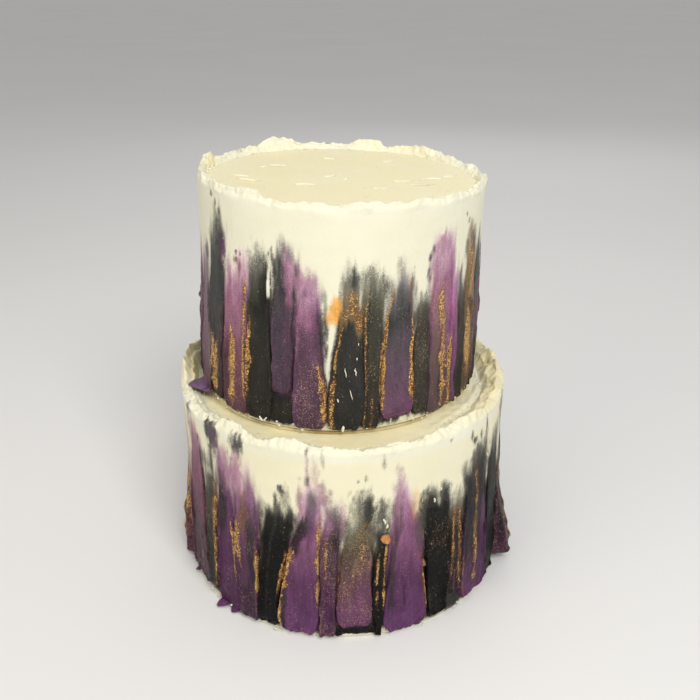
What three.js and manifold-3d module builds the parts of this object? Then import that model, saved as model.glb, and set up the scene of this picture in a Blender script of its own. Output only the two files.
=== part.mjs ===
// Two-tier watercolour cake: a smaller frosted round on a larger one, both uncut, with upright
// palette-knife strokes of tinted buttercream standing side by side round each wall.
// Millimetres, +Z up. The front is -Y, the origin is under the middle of the whole cake's box,
// and angles round a tier run from the front towards the right, +X.
import * as THREE from "three";
import { mergeVertices } from "three/addons/utils/BufferGeometryUtils.js";
import Module from "manifold-3d";

const manifold = await Module();
manifold.setup();

// Driving dimensions of the two rounds
const LOWER_RADIUS = 99;
const LOWER_HEIGHT = 122;
const UPPER_RADIUS = 81.5;
const UPPER_HEIGHT = 121;
const UPPER_SHIFT_RIGHT = -3.4;
const UPPER_SHIFT_BACK = 5.2;
// How far the upper round leans to the right, in millimetres for each millimetre of height
const UPPER_LEAN = 0.031;

// The thin card that the upper round stands on, just inside its wall
const CARD_THICKNESS = 1.4;
const CARD_INSET = 0.8;

// Room kept between two pieces that touch on the real cake
const GAP = 0.3;

// Frosting: soft foot edge and slow unevenness of the scraped wall
const FOOT_SOFTNESS = 1.6;
const WALL_UNEVENNESS = 0.35;
const WALL_BUMPS = 7;
const LOWER_WALL_SEED = 11;
const UPPER_WALL_SEED = 23;

// Ragged rim round the flat top. The shares are of its own height or width, and the bumps are
// how often its crest, its inner edge and its outer edge go in and out round the tier.
const LOWER_RIM = { width: 8.5, height: 5, raggedness: 0.5, seed: 31 };
const UPPER_RIM = { width: 6, height: 3.4, raggedness: 0.45, seed: 47 };
const RIM_DROP = 5;
const OUTER_RISE_SHARE = 0.45;
const INNER_RISE_SHARE = 0.62;
const CREST_PLACE = 0.38;
const CREST_BUMPS = 38;
const INNER_BUMPS = 26;
const OUTER_BUMPS = 44;
const INNER_UNEVENNESS = 0.3;
const OUTER_UNEVENNESS = 0.25;
// Tall lumps and dips of the rims: angle in degrees, extra height, and reach along the rim in degrees
const LOWER_LUMPS = [
  [-118, 3.5, 10],
  [-98, 9, 30],
  [-84, 2.5, 9],
  [-37, 0.8, 6],
  [72, 2.5, 8],
  [84, 2.5, 24],
  [104, 4, 10],
  [131, 2.5, 8],
];
const UPPER_LUMPS = [
  [-148, 4, 14],
  [-126, -1.2, 16],
  [-99, 4, 10],
  [-50, 2.2, 34],
  [-33, 2.6, 8],
  [-19, -1.2, 6],
  [8, 2.6, 12],
  [38, 2, 30],
  [86, -1.2, 8],
  [136, 1.2, 14],
  [169, 4.6, 11],
];
// Where frosting is heaped inside the lower rim: angle, full and last reach in degrees, extra width
const LOWER_HEAPS = [
  [80, 15, 62, 7],
  [-98, 8, 34, 5.6],
];

// A stroke: thickest just above its foot, thin at its feathered top, with raised side edges
const STROKE_THICKNESS = 3.1;
const STROKE_TOP_SHARE = 0.2;
const STROKE_EDGE_SHARE = 0.42;
const STROKE_RIDGE_SHARE = 1.12;
const STROKE_HOLLOW_SHARE = 0.84;
const FOOT_WIDTH_SHARE = 0.42;
const FOOT_ROUNDING_SHARE = 0.55;
const FOOT_THICKNESS_SHARE = 0.62;
// The outermost columns of corners lie at more than this share from the middle to the side
const SIDE_COLUMN = 0.98;
// How late the width and the thickness give way towards the top
const NARROWING = 2.2;
const THINNING = 0.8;
// How late a leaning seam leaves the upright, and how far and over what foot height it sways
const SEAM_BEND = 1.5;
const SEAM_SWAY = 1.2;
const SWAY_START = 16;
const SWAY_KNOTS = 6;
const SWAY_SEED_STEP = 7919;
// Bare wall beside a stroke opens between these heights
const GAP_OPEN_FROM = 6;
const GAP_OPEN_TO = 64;
// A foot that was flicked outwards falls back to the stroke over this height, unless it says how high
const FLICK_HEIGHT = 16;
// A short dark lip lies on the wall under a stroke that ends high
const LIP_FOOT = 2;
// Half of the slit between two strokes that stand side by side
const SLIT = 0.45;
// A fused pair of strokes runs this far into each other
const PAIR_OVERLAP = 1.6;

// Fineness of the facets
const TIER_SEGMENTS = 80;
const CARD_SEGMENTS = 48;
const STROKE_ROWS = 6;
const STROKE_COLUMNS = 4;
const NARROW_COLUMNS = 3;
const NARROW_WIDTH = 11;
const FOOT_CROWDING = 1.9;
const MERGE_DISTANCE = 1e-5;

// Front strokes, left to right. "from" is the left seam's angle in degrees low on the wall, and
// "lean" how far that seam has moved to the right at the top of the wall. A stroke reaches to the
// next one's seam. "foot" and "top" are heights above the round's base, "point" is the share of
// the width lost at the top, and "tip" says where across the width it narrows to. "flick" is how
// far the foot stands out and "flickHeight" how far up that reaches. "gapLeft" and "gapRight" are
// bare wall beside a stroke higher up.
const LOWER_FRONT = [
  { from: -84, lean: 0, foot: 1.2, top: 84, point: 0.4, tip: 0.5, tone: "copper", flick: 5, flickHeight: 80 },
  { from: -76, lean: 0, foot: 1, top: 90, point: 0.35, tip: 0.5, tone: "plum" },
  { from: -70, lean: 5, foot: 3.5, top: 112, point: 0.4, tip: 0.6, tone: "rose" },
  { from: -54, lean: -1, foot: 8, top: 96, point: 0.3, tip: 0.5, tone: "olive" },
  { from: -47.5, lean: 2, foot: 1, top: 106, point: 0.35, tip: 0.5, tone: "rose", flick: 4 },
  { from: -38, lean: -2, foot: 1, top: 98, point: 0.45, tip: 0.4, tone: "plum" },
  { from: -29.5, lean: 4, foot: 2, top: 85, point: 0.2, tip: 0.5, tone: "black" },
  { from: -22.5, lean: 14, foot: 1.2, top: 101, point: 0.4, tip: 0.6, tone: "purple" },
  { from: -8.3, lean: 3, foot: 1, top: 92, point: 0.3, tip: 0.6, tone: "plum" },
  { from: -2.8, lean: 4, foot: 8.5, top: 82, point: 0.4, tip: 0.6, tone: "bronze", lipTop: 7.6 },
  { from: 10.2, lean: 0, foot: 1, top: 78, point: 0.1, tip: 0.5, tone: "black" },
  { from: 12.6, lean: 5, foot: 1.2, top: 101, point: 0.85, tip: 0.3, tone: "purple" },
  { from: 29, lean: -6, foot: 2.5, top: 88, point: 0.25, tip: 0.6, tone: "black" },
  { from: 37.2, lean: 1, foot: 12, top: 80, point: 0.3, tip: 0.4, tone: "copper" },
  { from: 43.4, lean: 0, foot: 1.6, top: 100, point: 0.3, tip: 0.5, tone: "purple" },
  { from: 58.5, lean: -1, foot: 1.2, top: 97, point: 0.3, tip: 0.5, tone: "black" },
  { from: 70, lean: 0, foot: 5, top: 88, point: 0.4, tip: 0.5, tone: "plum", flick: 9, flickHeight: 60 },
];
const LOWER_FRONT_END = 81;
const UPPER_FRONT = [
  { from: -81, lean: 0, foot: 1, top: 84, point: 0.4, tip: 0.5, tone: "plum" },
  { from: -71, lean: 0, foot: 1, top: 88, point: 0.35, tip: 0.5, tone: "purple" },
  { from: -60.5, lean: -2, foot: 3.5, top: 104, point: 0.45, tip: 0.7, tone: "black" },
  { from: -51, lean: 5, foot: 1, top: 88, point: 0.25, tip: 0.6, tone: "rose" },
  { from: -36.6, lean: 1, foot: 2, top: 90, point: 0.3, tip: 0.5, tone: "black" },
  { from: -25.6, lean: 0, foot: 20, top: 100, point: 0.45, tip: 0.7, tone: "purple", lipTop: 19 },
  { from: -17, lean: 2, foot: 1.2, top: 88, point: 0.5, tip: 0.3, tone: "purple", gapRight: 4.5 },
  { from: -3, lean: 1, foot: 1, top: 86, point: 0.3, tip: 0.7, tone: "black", gapLeft: 3.4 },
  { from: 9.8, lean: -1, foot: 1, top: 90, point: 0.2, tip: 0.5, tone: "olive" },
  { from: 16.4, lean: -1, foot: 5, top: 84, point: 0.5, tip: 0.55, tone: "bronze" },
  { from: 30, lean: -1, foot: 4, top: 72, point: 0.3, tip: 0.7, tone: "olive" },
  { from: 36.4, lean: -1, foot: 1, top: 104, point: 0.3, tip: 0.6, tone: "rose" },
  { from: 46.6, lean: 2, foot: 2, top: 80, point: 0.35, tip: 0.5, tone: "rose" },
  { from: 52, lean: 1, foot: 1, top: 78, point: 0.2, tip: 0.5, tone: "black" },
  { from: 57, lean: 1, foot: 1, top: 100, point: 0.35, tip: 0.5, tone: "copper" },
  { from: 66.5, lean: 0, foot: 1.5, top: 94, point: 0.35, tip: 0.5, tone: "plum" },
];
const UPPER_FRONT_END = 77;

// Strokes round the back, which nobody sees from the front: like the front ones, fused in pairs
const BACK = {
  pairs: 10,
  widthSpread: 0.5,
  leanSpread: 2.5,
  footLow: 1,
  footHigh: 4,
  topLow: 76,
  topHigh: 106,
  pointLow: 0.2,
  pointHigh: 0.55,
  tipLow: 0.35,
  tipHigh: 0.65,
  tones: ["purple", "black", "plum", "olive", "rose", "black", "purple", "copper", "bronze", "black"],
};
const LOWER_BACK_SEED = 611;
const UPPER_BACK_SEED = 734;

// Finishes of the tinted creams, the plain frosting and the card
const TONES = {
  ivory: { color: 0xf1ecd6, roughness: 0.55 },
  card: { color: 0xb98f4a, roughness: 0.5 },
  black: { color: 0x24241f, roughness: 0.45 },
  purple: { color: 0x6b4270, roughness: 0.5 },
  plum: { color: 0x4a3040, roughness: 0.5 },
  rose: { color: 0x8f5f8a, roughness: 0.5 },
  olive: { color: 0x4c4836, roughness: 0.5 },
  bronze: { color: 0x5d4a3a, roughness: 0.5 },
  copper: { color: 0x9a6f3c, roughness: 0.45 },
};

const TURN = 2 * Math.PI;
const radians = THREE.MathUtils.degToRad;
const lerp = THREE.MathUtils.lerp;
const smoothstep = THREE.MathUtils.smoothstep;

// Repeatable random numbers between 0 and 1
function makeRandom(seed) {
  const MULTIPLIER = 16807;
  const RANGE = 2147483647;
  let state = seed;
  return () => {
    state = (state * MULTIPLIER) % RANGE;
    return state / RANGE;
  };
}

// Unevenness round a ring, between -1 and 1, with a given number of bumps
function unevenRing(seed, bumps) {
  const random = makeRandom(seed);
  const knots = Array.from({ length: bumps }, () => 2 * random() - 1);
  return (angle) => {
    const place = (angle / TURN - Math.floor(angle / TURN)) * bumps;
    const knot = Math.floor(place) % bumps;
    const share = (1 - Math.cos(Math.PI * (place - Math.floor(place)))) / 2;
    return lerp(knots[knot], knots[(knot + 1) % bumps], share);
  };
}

// A point at an angle from the front, a radius from the axis and a height
function aroundAxis(angle, radius, height) {
  return new THREE.Vector3(radius * Math.sin(angle), -radius * Math.cos(angle), height);
}

// The scraped wall's radius, slightly uneven round the tier and up it
function makeWall(radius, height, seed) {
  const low = unevenRing(seed, WALL_BUMPS);
  const high = unevenRing(seed + 1, WALL_BUMPS);
  return (angle, z) => radius + WALL_UNEVENNESS * lerp(low(angle), high(angle), z / height);
}

// How far an angle is from another round the tier, in degrees
function degreesAway(angle, degrees) {
  const turned = THREE.MathUtils.euclideanModulo(angle - radians(degrees) + Math.PI, TURN);
  return THREE.MathUtils.radToDeg(Math.abs(turned - Math.PI));
}

// The extra height that the tall lumps give a rim
function lumpHeight(lumps, angle) {
  const heights = lumps.map(([degrees, height, reach]) => {
    return height * (1 - smoothstep(degreesAway(angle, degrees), 0, reach));
  });
  return heights.reduce((sum, height) => sum + height, 0);
}

// The extra width that the heaps give a rim
function heapWidth(heaps, angle) {
  const widths = heaps.map(([degrees, full, last, width]) => {
    return width * (1 - smoothstep(degreesAway(angle, degrees), full, last));
  });
  return Math.max(0, ...widths);
}

// Drops everything but positions, so that the facets share their corners
function bareMesh(geometry) {
  geometry.deleteAttribute("normal");
  geometry.deleteAttribute("uv");
  return mergeVertices(geometry, MERGE_DISTANCE);
}

// Moves every corner of a geometry through a function
function reshape(geometry, move) {
  const positions = geometry.getAttribute("position");
  const corner = new THREE.Vector3();
  for (let i = 0; i < positions.count; i += 1) {
    corner.fromBufferAttribute(positions, i);
    const moved = move(corner, i);
    positions.setXYZ(i, moved.x, moved.y, moved.z);
  }
  return geometry;
}

// A frosted round: flat base, scraped wall, ragged raised rim and smooth flat top.
// roomAt gives the smallest radius that the rim's inner side must stay outside of.
function tierGeometry({ radius, height, wall, rim, lumps, heaps, roomAt }) {
  const crestNoise = unevenRing(rim.seed, CREST_BUMPS);
  const innerNoise = unevenRing(rim.seed + 1, INNER_BUMPS);
  const outerNoise = unevenRing(rim.seed + 2, OUTER_BUMPS);

  function profileAt(angle) {
    const crest = rim.height * (1 + rim.raggedness * crestNoise(angle)) + lumpHeight(lumps, angle);
    const width = rim.width * (1 + INNER_UNEVENNESS * innerNoise(angle)) + heapWidth(heaps, angle);
    const inner = Math.max(radius - width, roomAt(angle));
    const ragged = OUTER_UNEVENNESS * rim.height * rim.raggedness * outerNoise(angle);
    const outer = wall(angle, height) + ragged;
    return [
      [0, 0],
      [wall(angle, 0) - FOOT_SOFTNESS, 0],
      [wall(angle, 0), FOOT_SOFTNESS],
      [wall(angle, height / 2), height / 2],
      [wall(angle, height - RIM_DROP), height - RIM_DROP],
      [outer, height + OUTER_RISE_SHARE * crest],
      [lerp(outer, inner, CREST_PLACE), height + crest],
      [lerp(outer, inner, 2 * CREST_PLACE), height + INNER_RISE_SHARE * crest],
      [inner, height],
      [0, height],
    ];
  }

  const outline = profileAt(0).map(([r, z]) => new THREE.Vector2(r, z));
  const lathe = new THREE.LatheGeometry(outline, TIER_SEGMENTS);
  reshape(lathe, (corner, i) => {
    const angle = (Math.floor(i / outline.length) / TIER_SEGMENTS) * TURN;
    const [r, z] = profileAt(angle)[i % outline.length];
    return aroundAxis(angle, r, z);
  });
  return bareMesh(lathe);
}

// One knife stroke as a slab bent round the wall. left and right give the angles of its seams at
// a height; insets keep it off its neighbours or let it run into them.
function strokeGeometry(spec) {
  const { wall, radius, left, right, foot, top, point, tip, insets } = spec;
  const { flick = 0, flickHeight = FLICK_HEIGHT, gapLeft = 0, gapRight = 0 } = spec;
  const width = radius * (right(foot) - left(foot));
  const columns = width < NARROW_WIDTH ? NARROW_COLUMNS : STROKE_COLUMNS;
  const rounding = Math.min(FOOT_ROUNDING_SHARE * width, (top - foot) / 2);
  const box = new THREE.BoxGeometry(1, 1, 1, columns, STROKE_ROWS, 1);

  reshape(box, (corner) => {
    const across = (1 + Math.sin(Math.PI * corner.x)) / 2;
    const up = (corner.y + 0.5) ** FOOT_CROWDING;
    const z = lerp(foot, top, up);
    const opened = smoothstep(z, GAP_OPEN_FROM, GAP_OPEN_TO);
    const start = left(z) + (insets[0] + gapLeft * opened) / radius;
    const end = right(z) - (insets[1] + gapRight * opened) / radius;
    const belowRound = Math.max(0, 1 - (z - foot) / rounding);
    const footShare = lerp(FOOT_WIDTH_SHARE, 1, Math.sqrt(1 - belowRound ** 2));
    const topShare = 1 - point * up ** NARROWING;
    const aim = lerp(0.5, tip, up);
    const angle = lerp(start, end, aim + (across - aim) * footShare * topShare);

    const edge = Math.abs(2 * across - 1);
    const atSide = edge > SIDE_COLUMN;
    const bulge = atSide ? STROKE_EDGE_SHARE : lerp(STROKE_HOLLOW_SHARE, STROKE_RIDGE_SHARE, edge);
    const footRoll = lerp(FOOT_THICKNESS_SHARE, 1, Math.sqrt(1 - belowRound ** 2));
    const feather = lerp(1, STROKE_TOP_SHARE, up ** THINNING);
    const thickness = STROKE_THICKNESS * bulge * footRoll * feather;
    const flicked = atSide ? 0 : flick * (1 - smoothstep(z, foot, foot + flickHeight));
    const depth = corner.z > 0 ? GAP + thickness + flicked : GAP;
    return aroundAxis(angle, wall(angle, z) + depth, z);
  });
  return bareMesh(box);
}

// A three.js geometry as a solid, and a solid as a three.js geometry
function toSolid(geometry) {
  const vertProperties = geometry.getAttribute("position").array;
  const triVerts = Uint32Array.from(geometry.index.array);
  return new manifold.Manifold(new manifold.Mesh({ numProp: 3, vertProperties, triVerts }));
}
function toGeometry(solid) {
  const mesh = solid.getMesh();
  const geometry = new THREE.BufferGeometry();
  geometry.setAttribute("position", new THREE.BufferAttribute(mesh.vertProperties, 3));
  geometry.setIndex(new THREE.BufferAttribute(mesh.triVerts, 1));
  return geometry;
}

function finish(geometry, name, tone) {
  geometry.computeVertexNormals();
  const mesh = new THREE.Mesh(geometry, new THREE.MeshStandardMaterial(TONES[tone]));
  mesh.name = name;
  return mesh;
}

// The back's strokes by rule: seams at uneven steps between the front's last seam and its first.
// The first seam is also the end of the front, so it stays upright.
function backStrokes(startDegrees, endDegrees, seed) {
  const random = makeRandom(seed);
  const between = (low, high) => lerp(low, high, random());
  const count = 2 * BACK.pairs;
  const steps = Array.from({ length: count }, () => 1 + BACK.widthSpread * (random() - 0.5));
  const total = steps.reduce((sum, step) => sum + step, 0);
  let from = startDegrees;
  return steps.map((step, i) => {
    const lean = between(-BACK.leanSpread, BACK.leanSpread);
    const stroke = {
      from,
      lean: i === 0 ? 0 : lean,
      foot: between(BACK.footLow, BACK.footHigh),
      top: between(BACK.topLow, BACK.topHigh),
      point: between(BACK.pointLow, BACK.pointHigh),
      tip: between(BACK.tipLow, BACK.tipHigh),
      tone: BACK.tones[Math.floor(i / 2) % BACK.tones.length],
    };
    from += (step / total) * (endDegrees - startDegrees);
    return stroke;
  });
}

// All strokes of one tier as named meshes
function tierStrokes({ tierName, radius, height, wall, front, frontEnd, backSeed, place }) {
  const back = backStrokes(frontEnd, front[0].from + 360, backSeed);
  const strokes = [...front, ...back];
  const seamAt = (i) => {
    const place = i % strokes.length;
    const { from, lean } = strokes[place];
    const turns = i >= strokes.length ? 360 : 0;
    const swayNoise = unevenRing(SWAY_SEED_STEP * (place + 1), SWAY_KNOTS);
    return (z) => {
      const sway = SEAM_SWAY * smoothstep(z, 0, SWAY_START) * swayNoise((z / height) * TURN);
      return radians(from + turns + lean * (z / height) ** SEAM_BEND) + sway / radius;
    };
  };
  const shapeOf = (i, changes) => {
    const spec = { wall, radius, left: seamAt(i), right: seamAt(i + 1), insets: [SLIT, SLIT] };
    return strokeGeometry({ ...spec, ...strokes[i], ...changes });
  };
  const meshes = [];
  const add = (geometry, tone) => {
    const number = String(meshes.length + 1).padStart(2, "0");
    meshes.push(finish(reshape(geometry, place), `${tierName}_${number}_${tone}`, tone));
  };

  front.forEach((stroke, i) => {
    add(shapeOf(i, {}), stroke.tone);
    if (stroke.lipTop) {
      add(shapeOf(i, { foot: LIP_FOOT, top: stroke.lipTop, point: 0, tip: 0.5 }), "black");
    }
  });
  for (let i = front.length; i < strokes.length; i += 2) {
    const first = toSolid(shapeOf(i, { insets: [SLIT, -PAIR_OVERLAP / 2] }));
    const second = toSolid(shapeOf(i + 1, { insets: [-PAIR_OVERLAP / 2, SLIT] }));
    add(toGeometry(first.add(second)), strokes[i].tone);
  }
  return meshes;
}

// The upper round's place: shifted on the lower one, leaning, with its foot still flat
const UPPER_BASE = LOWER_HEIGHT + GAP + CARD_THICKNESS + GAP;
function placeUpper(corner) {
  return new THREE.Vector3(
    corner.x + UPPER_SHIFT_RIGHT + UPPER_LEAN * corner.z,
    corner.y + UPPER_SHIFT_BACK,
    UPPER_BASE + corner.z * (1 - (UPPER_LEAN * corner.x) / UPPER_HEIGHT),
  );
}
const placeLower = (corner) => corner.clone();

// How far out the upper round and its strokes reach, seen from the lower round's axis
const CLEARANCE = 1;
const THICKEST = STROKE_THICKNESS * STROKE_RIDGE_SHARE;
const UPPER_REACH = UPPER_RADIUS + WALL_UNEVENNESS + GAP + THICKEST + CLEARANCE;
function roomForUpper(angle) {
  const towards = UPPER_SHIFT_RIGHT * Math.sin(angle) - UPPER_SHIFT_BACK * Math.cos(angle);
  const sideways = UPPER_SHIFT_RIGHT ** 2 + UPPER_SHIFT_BACK ** 2 - towards ** 2;
  return towards + Math.sqrt(UPPER_REACH ** 2 - sideways);
}

const cake = new THREE.Group();
cake.name = "two_tier_cake";

const lowerWall = makeWall(LOWER_RADIUS, LOWER_HEIGHT, LOWER_WALL_SEED);
const upperWall = makeWall(UPPER_RADIUS, UPPER_HEIGHT, UPPER_WALL_SEED);

const lowerTier = tierGeometry({
  radius: LOWER_RADIUS,
  height: LOWER_HEIGHT,
  wall: lowerWall,
  rim: LOWER_RIM,
  lumps: LOWER_LUMPS,
  heaps: LOWER_HEAPS,
  roomAt: roomForUpper,
});
cake.add(finish(lowerTier, "lower_tier", "ivory"));

const card = new THREE.CylinderGeometry(
  UPPER_RADIUS - CARD_INSET,
  UPPER_RADIUS - CARD_INSET,
  CARD_THICKNESS,
  CARD_SEGMENTS,
);
const cardMesh = finish(bareMesh(card), "tier_card", "card");
cardMesh.rotation.x = Math.PI / 2;
cardMesh.position.set(UPPER_SHIFT_RIGHT, UPPER_SHIFT_BACK, LOWER_HEIGHT + GAP + CARD_THICKNESS / 2);
cake.add(cardMesh);

const upperTier = tierGeometry({
  radius: UPPER_RADIUS,
  height: UPPER_HEIGHT,
  wall: upperWall,
  rim: UPPER_RIM,
  lumps: UPPER_LUMPS,
  heaps: [],
  roomAt: () => 0,
});
cake.add(finish(reshape(upperTier, placeUpper), "upper_tier", "ivory"));

cake.add(
  ...tierStrokes({
    tierName: "lower",
    radius: LOWER_RADIUS,
    height: LOWER_HEIGHT,
    wall: lowerWall,
    front: LOWER_FRONT,
    frontEnd: LOWER_FRONT_END,
    backSeed: LOWER_BACK_SEED,
    place: placeLower,
  }),
  ...tierStrokes({
    tierName: "upper",
    radius: UPPER_RADIUS,
    height: UPPER_HEIGHT,
    wall: upperWall,
    front: UPPER_FRONT,
    frontEnd: UPPER_FRONT_END,
    backSeed: UPPER_BACK_SEED,
    place: placeUpper,
  }),
);

// The whole cake moves so that the origin is under the middle of its box
const middle = new THREE.Box3().setFromObject(cake).getCenter(new THREE.Vector3());
cake.position.set(-middle.x, -middle.y, 0);

export default cake;
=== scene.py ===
# %% [markdown]
# # A two-tier watercolour cake
# Two frosted rounds stand one on the other. Ivory buttercream is scraped smooth round their walls,
# its edge left ragged at the top, and tinted creams are dragged up the walls with a palette knife.
# The packed model gives the solids. This lesson dresses them: the same forms, made fine enough to
# show torn cream, drag lines and brushed gold.

# %% Load the packed model
import functools
import math
from types import SimpleNamespace

import bmesh
import bpy
import numpy as np
from mathutils import Matrix, Vector


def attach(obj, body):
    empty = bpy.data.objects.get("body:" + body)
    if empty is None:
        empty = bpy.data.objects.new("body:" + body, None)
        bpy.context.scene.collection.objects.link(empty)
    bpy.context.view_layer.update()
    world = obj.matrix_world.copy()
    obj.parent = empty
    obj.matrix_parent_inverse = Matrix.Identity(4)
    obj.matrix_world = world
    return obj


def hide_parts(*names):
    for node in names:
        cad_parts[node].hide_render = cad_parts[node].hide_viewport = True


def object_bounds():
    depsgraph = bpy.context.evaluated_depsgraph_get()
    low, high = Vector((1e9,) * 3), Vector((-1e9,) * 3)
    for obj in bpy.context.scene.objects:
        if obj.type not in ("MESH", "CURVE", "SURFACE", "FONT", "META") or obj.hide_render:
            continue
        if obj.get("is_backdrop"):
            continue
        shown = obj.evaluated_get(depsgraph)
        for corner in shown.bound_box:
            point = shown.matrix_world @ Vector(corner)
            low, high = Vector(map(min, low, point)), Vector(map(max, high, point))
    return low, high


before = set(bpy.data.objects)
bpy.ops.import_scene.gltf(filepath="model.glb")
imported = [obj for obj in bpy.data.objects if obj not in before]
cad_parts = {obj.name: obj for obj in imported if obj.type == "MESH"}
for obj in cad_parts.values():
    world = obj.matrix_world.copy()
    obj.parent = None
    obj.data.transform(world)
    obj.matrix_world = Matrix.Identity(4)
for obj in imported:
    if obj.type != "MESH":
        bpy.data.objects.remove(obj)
cad_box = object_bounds()
print("packed pieces:", len(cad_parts))

# %% [markdown]
# ## Sizes
# The model is in metres, but a cake is thought of in millimetres, so every length below is in
# millimetres and is scaled once, when a mesh is made. The sizes are the ones the solids were built
# from, and the axis of the lower round is measured on the solid itself, from its flat base.
#
# "shift" and "lean" are how far the upper round stands off that axis and tips to the right. "lumps"
# are swells of the rim: an angle in degrees from the front, a rise and a half width in degrees.
# "butter" is where the rim's cream is yellower: an angle, a half width and a strength. "yellow" is
# how warm the scraped wall is, and "pale" how much ivory is worked into the strokes.

# %% Sizes of the rounds
MM = 0.001
GAP = 0.3
CARD_THICKNESS = 1.4
ON_THE_BASE = 0.01
LOWER = {
    "name": "lower", "radius": 99, "height": 122, "base": 0, "shift": (0, 0), "lean": 0,
    "wall_seed": 11, "columns": 700, "yellow": 0.2, "pale": 0.0,
    "rim": {"width": 8.5, "height": 5, "raggedness": 0.5, "seed": 31},
    "lumps": [
        (-118, 3.5, 10), (-98, 9, 30), (-84, 2.5, 9), (-37, 0.8, 6), (72, 2.5, 8), (84, 2.5, 24),
        (104, 4, 10), (131, 2.5, 8),
    ],
    "butter": [(-120, 16, 0.6), (-90, 30, 0.8), (62, 26, 0.4), (100, 24, 0.6)],
}
UPPER = {
    "name": "upper", "radius": 81.5, "height": 121, "shift": (-3.4, 5.2), "lean": 0.031,
    "base": LOWER["height"] + GAP + CARD_THICKNESS + GAP,
    "wall_seed": 23, "columns": 620, "yellow": 0.04, "pale": 0.025,
    "rim": {"width": 6, "height": 3.4, "raggedness": 0.45, "seed": 47},
    "lumps": [
        (-148, 4, 14), (-126, -1.2, 16), (-99, 4, 10), (-50, 2.2, 34), (-33, 2.6, 8), (-19, -1.2, 6),
        (8, 2.6, 12), (38, 2, 30), (86, -1.2, 8), (136, 1.2, 14), (169, 4.6, 11),
    ],
    "butter": [(-101, 11, 1.9), (145, 26, 0.7), (48, 12, 0.4)],
}

corners = np.array([v.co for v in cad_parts["lower_tier"].data.vertices]) / MM
base_ring = corners[corners[:, 2] < ON_THE_BASE]
AXIS = (base_ring.min(0) + base_ring.max(0))[:2] / 2
print("axis of the lower round, mm:", AXIS.round(2))

# %% [markdown]
# ## Where things stand on a round
# A point on a cake is easiest to name by its turn from the front, its distance from the axis and
# its height. One function turns that into a place, and it also leans the upper round, whose foot
# stays flat while its top slides and tips to the right.

# %% Places round a tier


def place(tier, turn, radius, height):
    """Places in metres, as rows of x, y, z. turn is in radians from the front, towards the right."""
    x = radius * np.sin(turn)
    y = -radius * np.cos(turn)
    tip = 1 - tier["lean"] * x / tier["height"]
    return MM * np.stack([
        AXIS[0] + tier["shift"][0] + x + tier["lean"] * height,
        AXIS[1] + tier["shift"][1] + y,
        tier["base"] + height * tip,
    ], axis=-1)


def turned_from(turn, degrees):
    """How far a turn is from an angle given in degrees, in radians, negative to the left."""
    return np.mod(turn - math.radians(degrees) + math.pi, math.tau) - math.pi


def blend(a, b, share):
    return a + (b - a) * share


def ease(low, high, value):
    """0 below low, 1 above high, and a soft step between."""
    share = np.clip((value - low) / (high - low), 0, 1)
    return share * share * (3 - 2 * share)


front_foot = place(LOWER, 0.0, LOWER["radius"], 0.0)
print("foot of the lower wall at the front, m:", front_foot.round(4))

# %% [markdown]
# ## Repeatable unevenness
# Food is never even, but a script has to give the same cake each time. The first two helpers repeat
# the solids' own random walk, so that the fine surface rises and falls where the solid does. The
# others make relief over one or two directions by blending random knots, for all that is finer.

# %% Random helpers
WALK_FACTOR, WALK_SIZE = 16807, 2 ** 31 - 1
OPEN_KNOTS, KNOT_ROWS = 113, 71


def make_random(seed):
    """The same repeatable numbers between 0 and 1 that the solids are made with."""
    state = seed
    while True:
        state = state * WALK_FACTOR % WALK_SIZE
        yield state / WALK_SIZE


def uneven_ring(seed, bumps):
    """Unevenness round a ring, -1 to 1, as a function of the turn."""
    random = make_random(seed)
    knots = np.array([2 * next(random) - 1 for _ in range(bumps)])

    def at(turn):
        spot = np.mod(turn / math.tau, 1) * bumps
        knot = np.floor(spot).astype(int) % bumps
        share = (1 - np.cos(math.pi * (spot - np.floor(spot)))) / 2
        return blend(knots[knot], knots[(knot + 1) % bumps], share)

    return at


@functools.cache
def knots_of(seed, columns):
    return np.random.default_rng(seed).uniform(-1, 1, (columns, KNOT_ROWS))


def relief(seed, x, y, cell_x, cell_y, ring=None):
    """Soft random relief, -1 to 1, over x and y in mm. ring is the length after which x closes."""
    columns = max(3, round(ring / cell_x)) if ring else OPEN_KNOTS
    knots = knots_of(seed, columns)
    gx = x / ring * columns if ring else x / cell_x
    gy = y / cell_y
    i, j = np.floor(gx).astype(int), np.floor(gy).astype(int)
    sx, sy = ease(0, 1, gx - i), ease(0, 1, gy - j)
    i0, i1, j0, j1 = i % columns, (i + 1) % columns, j % KNOT_ROWS, (j + 1) % KNOT_ROWS
    return blend(blend(knots[i0, j0], knots[i1, j0], sx), blend(knots[i0, j1], knots[i1, j1], sx), sy)


def relief_along(seed, x, cell):
    """Soft random relief, -1 to 1, along one direction."""
    return relief(seed, x, 0 * x, cell, 1)


some = relief_along(5, np.linspace(0, 40, 9), 6)
print("relief along 40 mm:", some.round(2))

# %% [markdown]
# ## The scraped wall
# A scraper held by hand leaves a wall that is round to a few tenths of a millimetre. Each round has
# one slow unevenness at its foot and another at its top, and the wall goes from one to the other.

# %% Wall of a round
WALL_BUMPS = 7
WALL_UNEVENNESS = 0.35
for tier in (LOWER, UPPER):
    tier["wall_low"] = uneven_ring(tier["wall_seed"], WALL_BUMPS)
    tier["wall_high"] = uneven_ring(tier["wall_seed"] + 1, WALL_BUMPS)


def wall(tier, turn, height):
    """Radius of the scraped wall in mm."""
    uneven = blend(tier["wall_low"](turn), tier["wall_high"](turn), height / tier["height"])
    return tier["radius"] + WALL_UNEVENNESS * uneven


print("wall of the lower round at the front, mm:", round(float(wall(LOWER, 0.0, 60)), 2))

# %% [markdown]
# ## The camera
# The photograph was taken from a little above, close in. A camera was fitted to the outlines of both
# rounds, which gives its height, its distance and how far it looks down.

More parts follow.
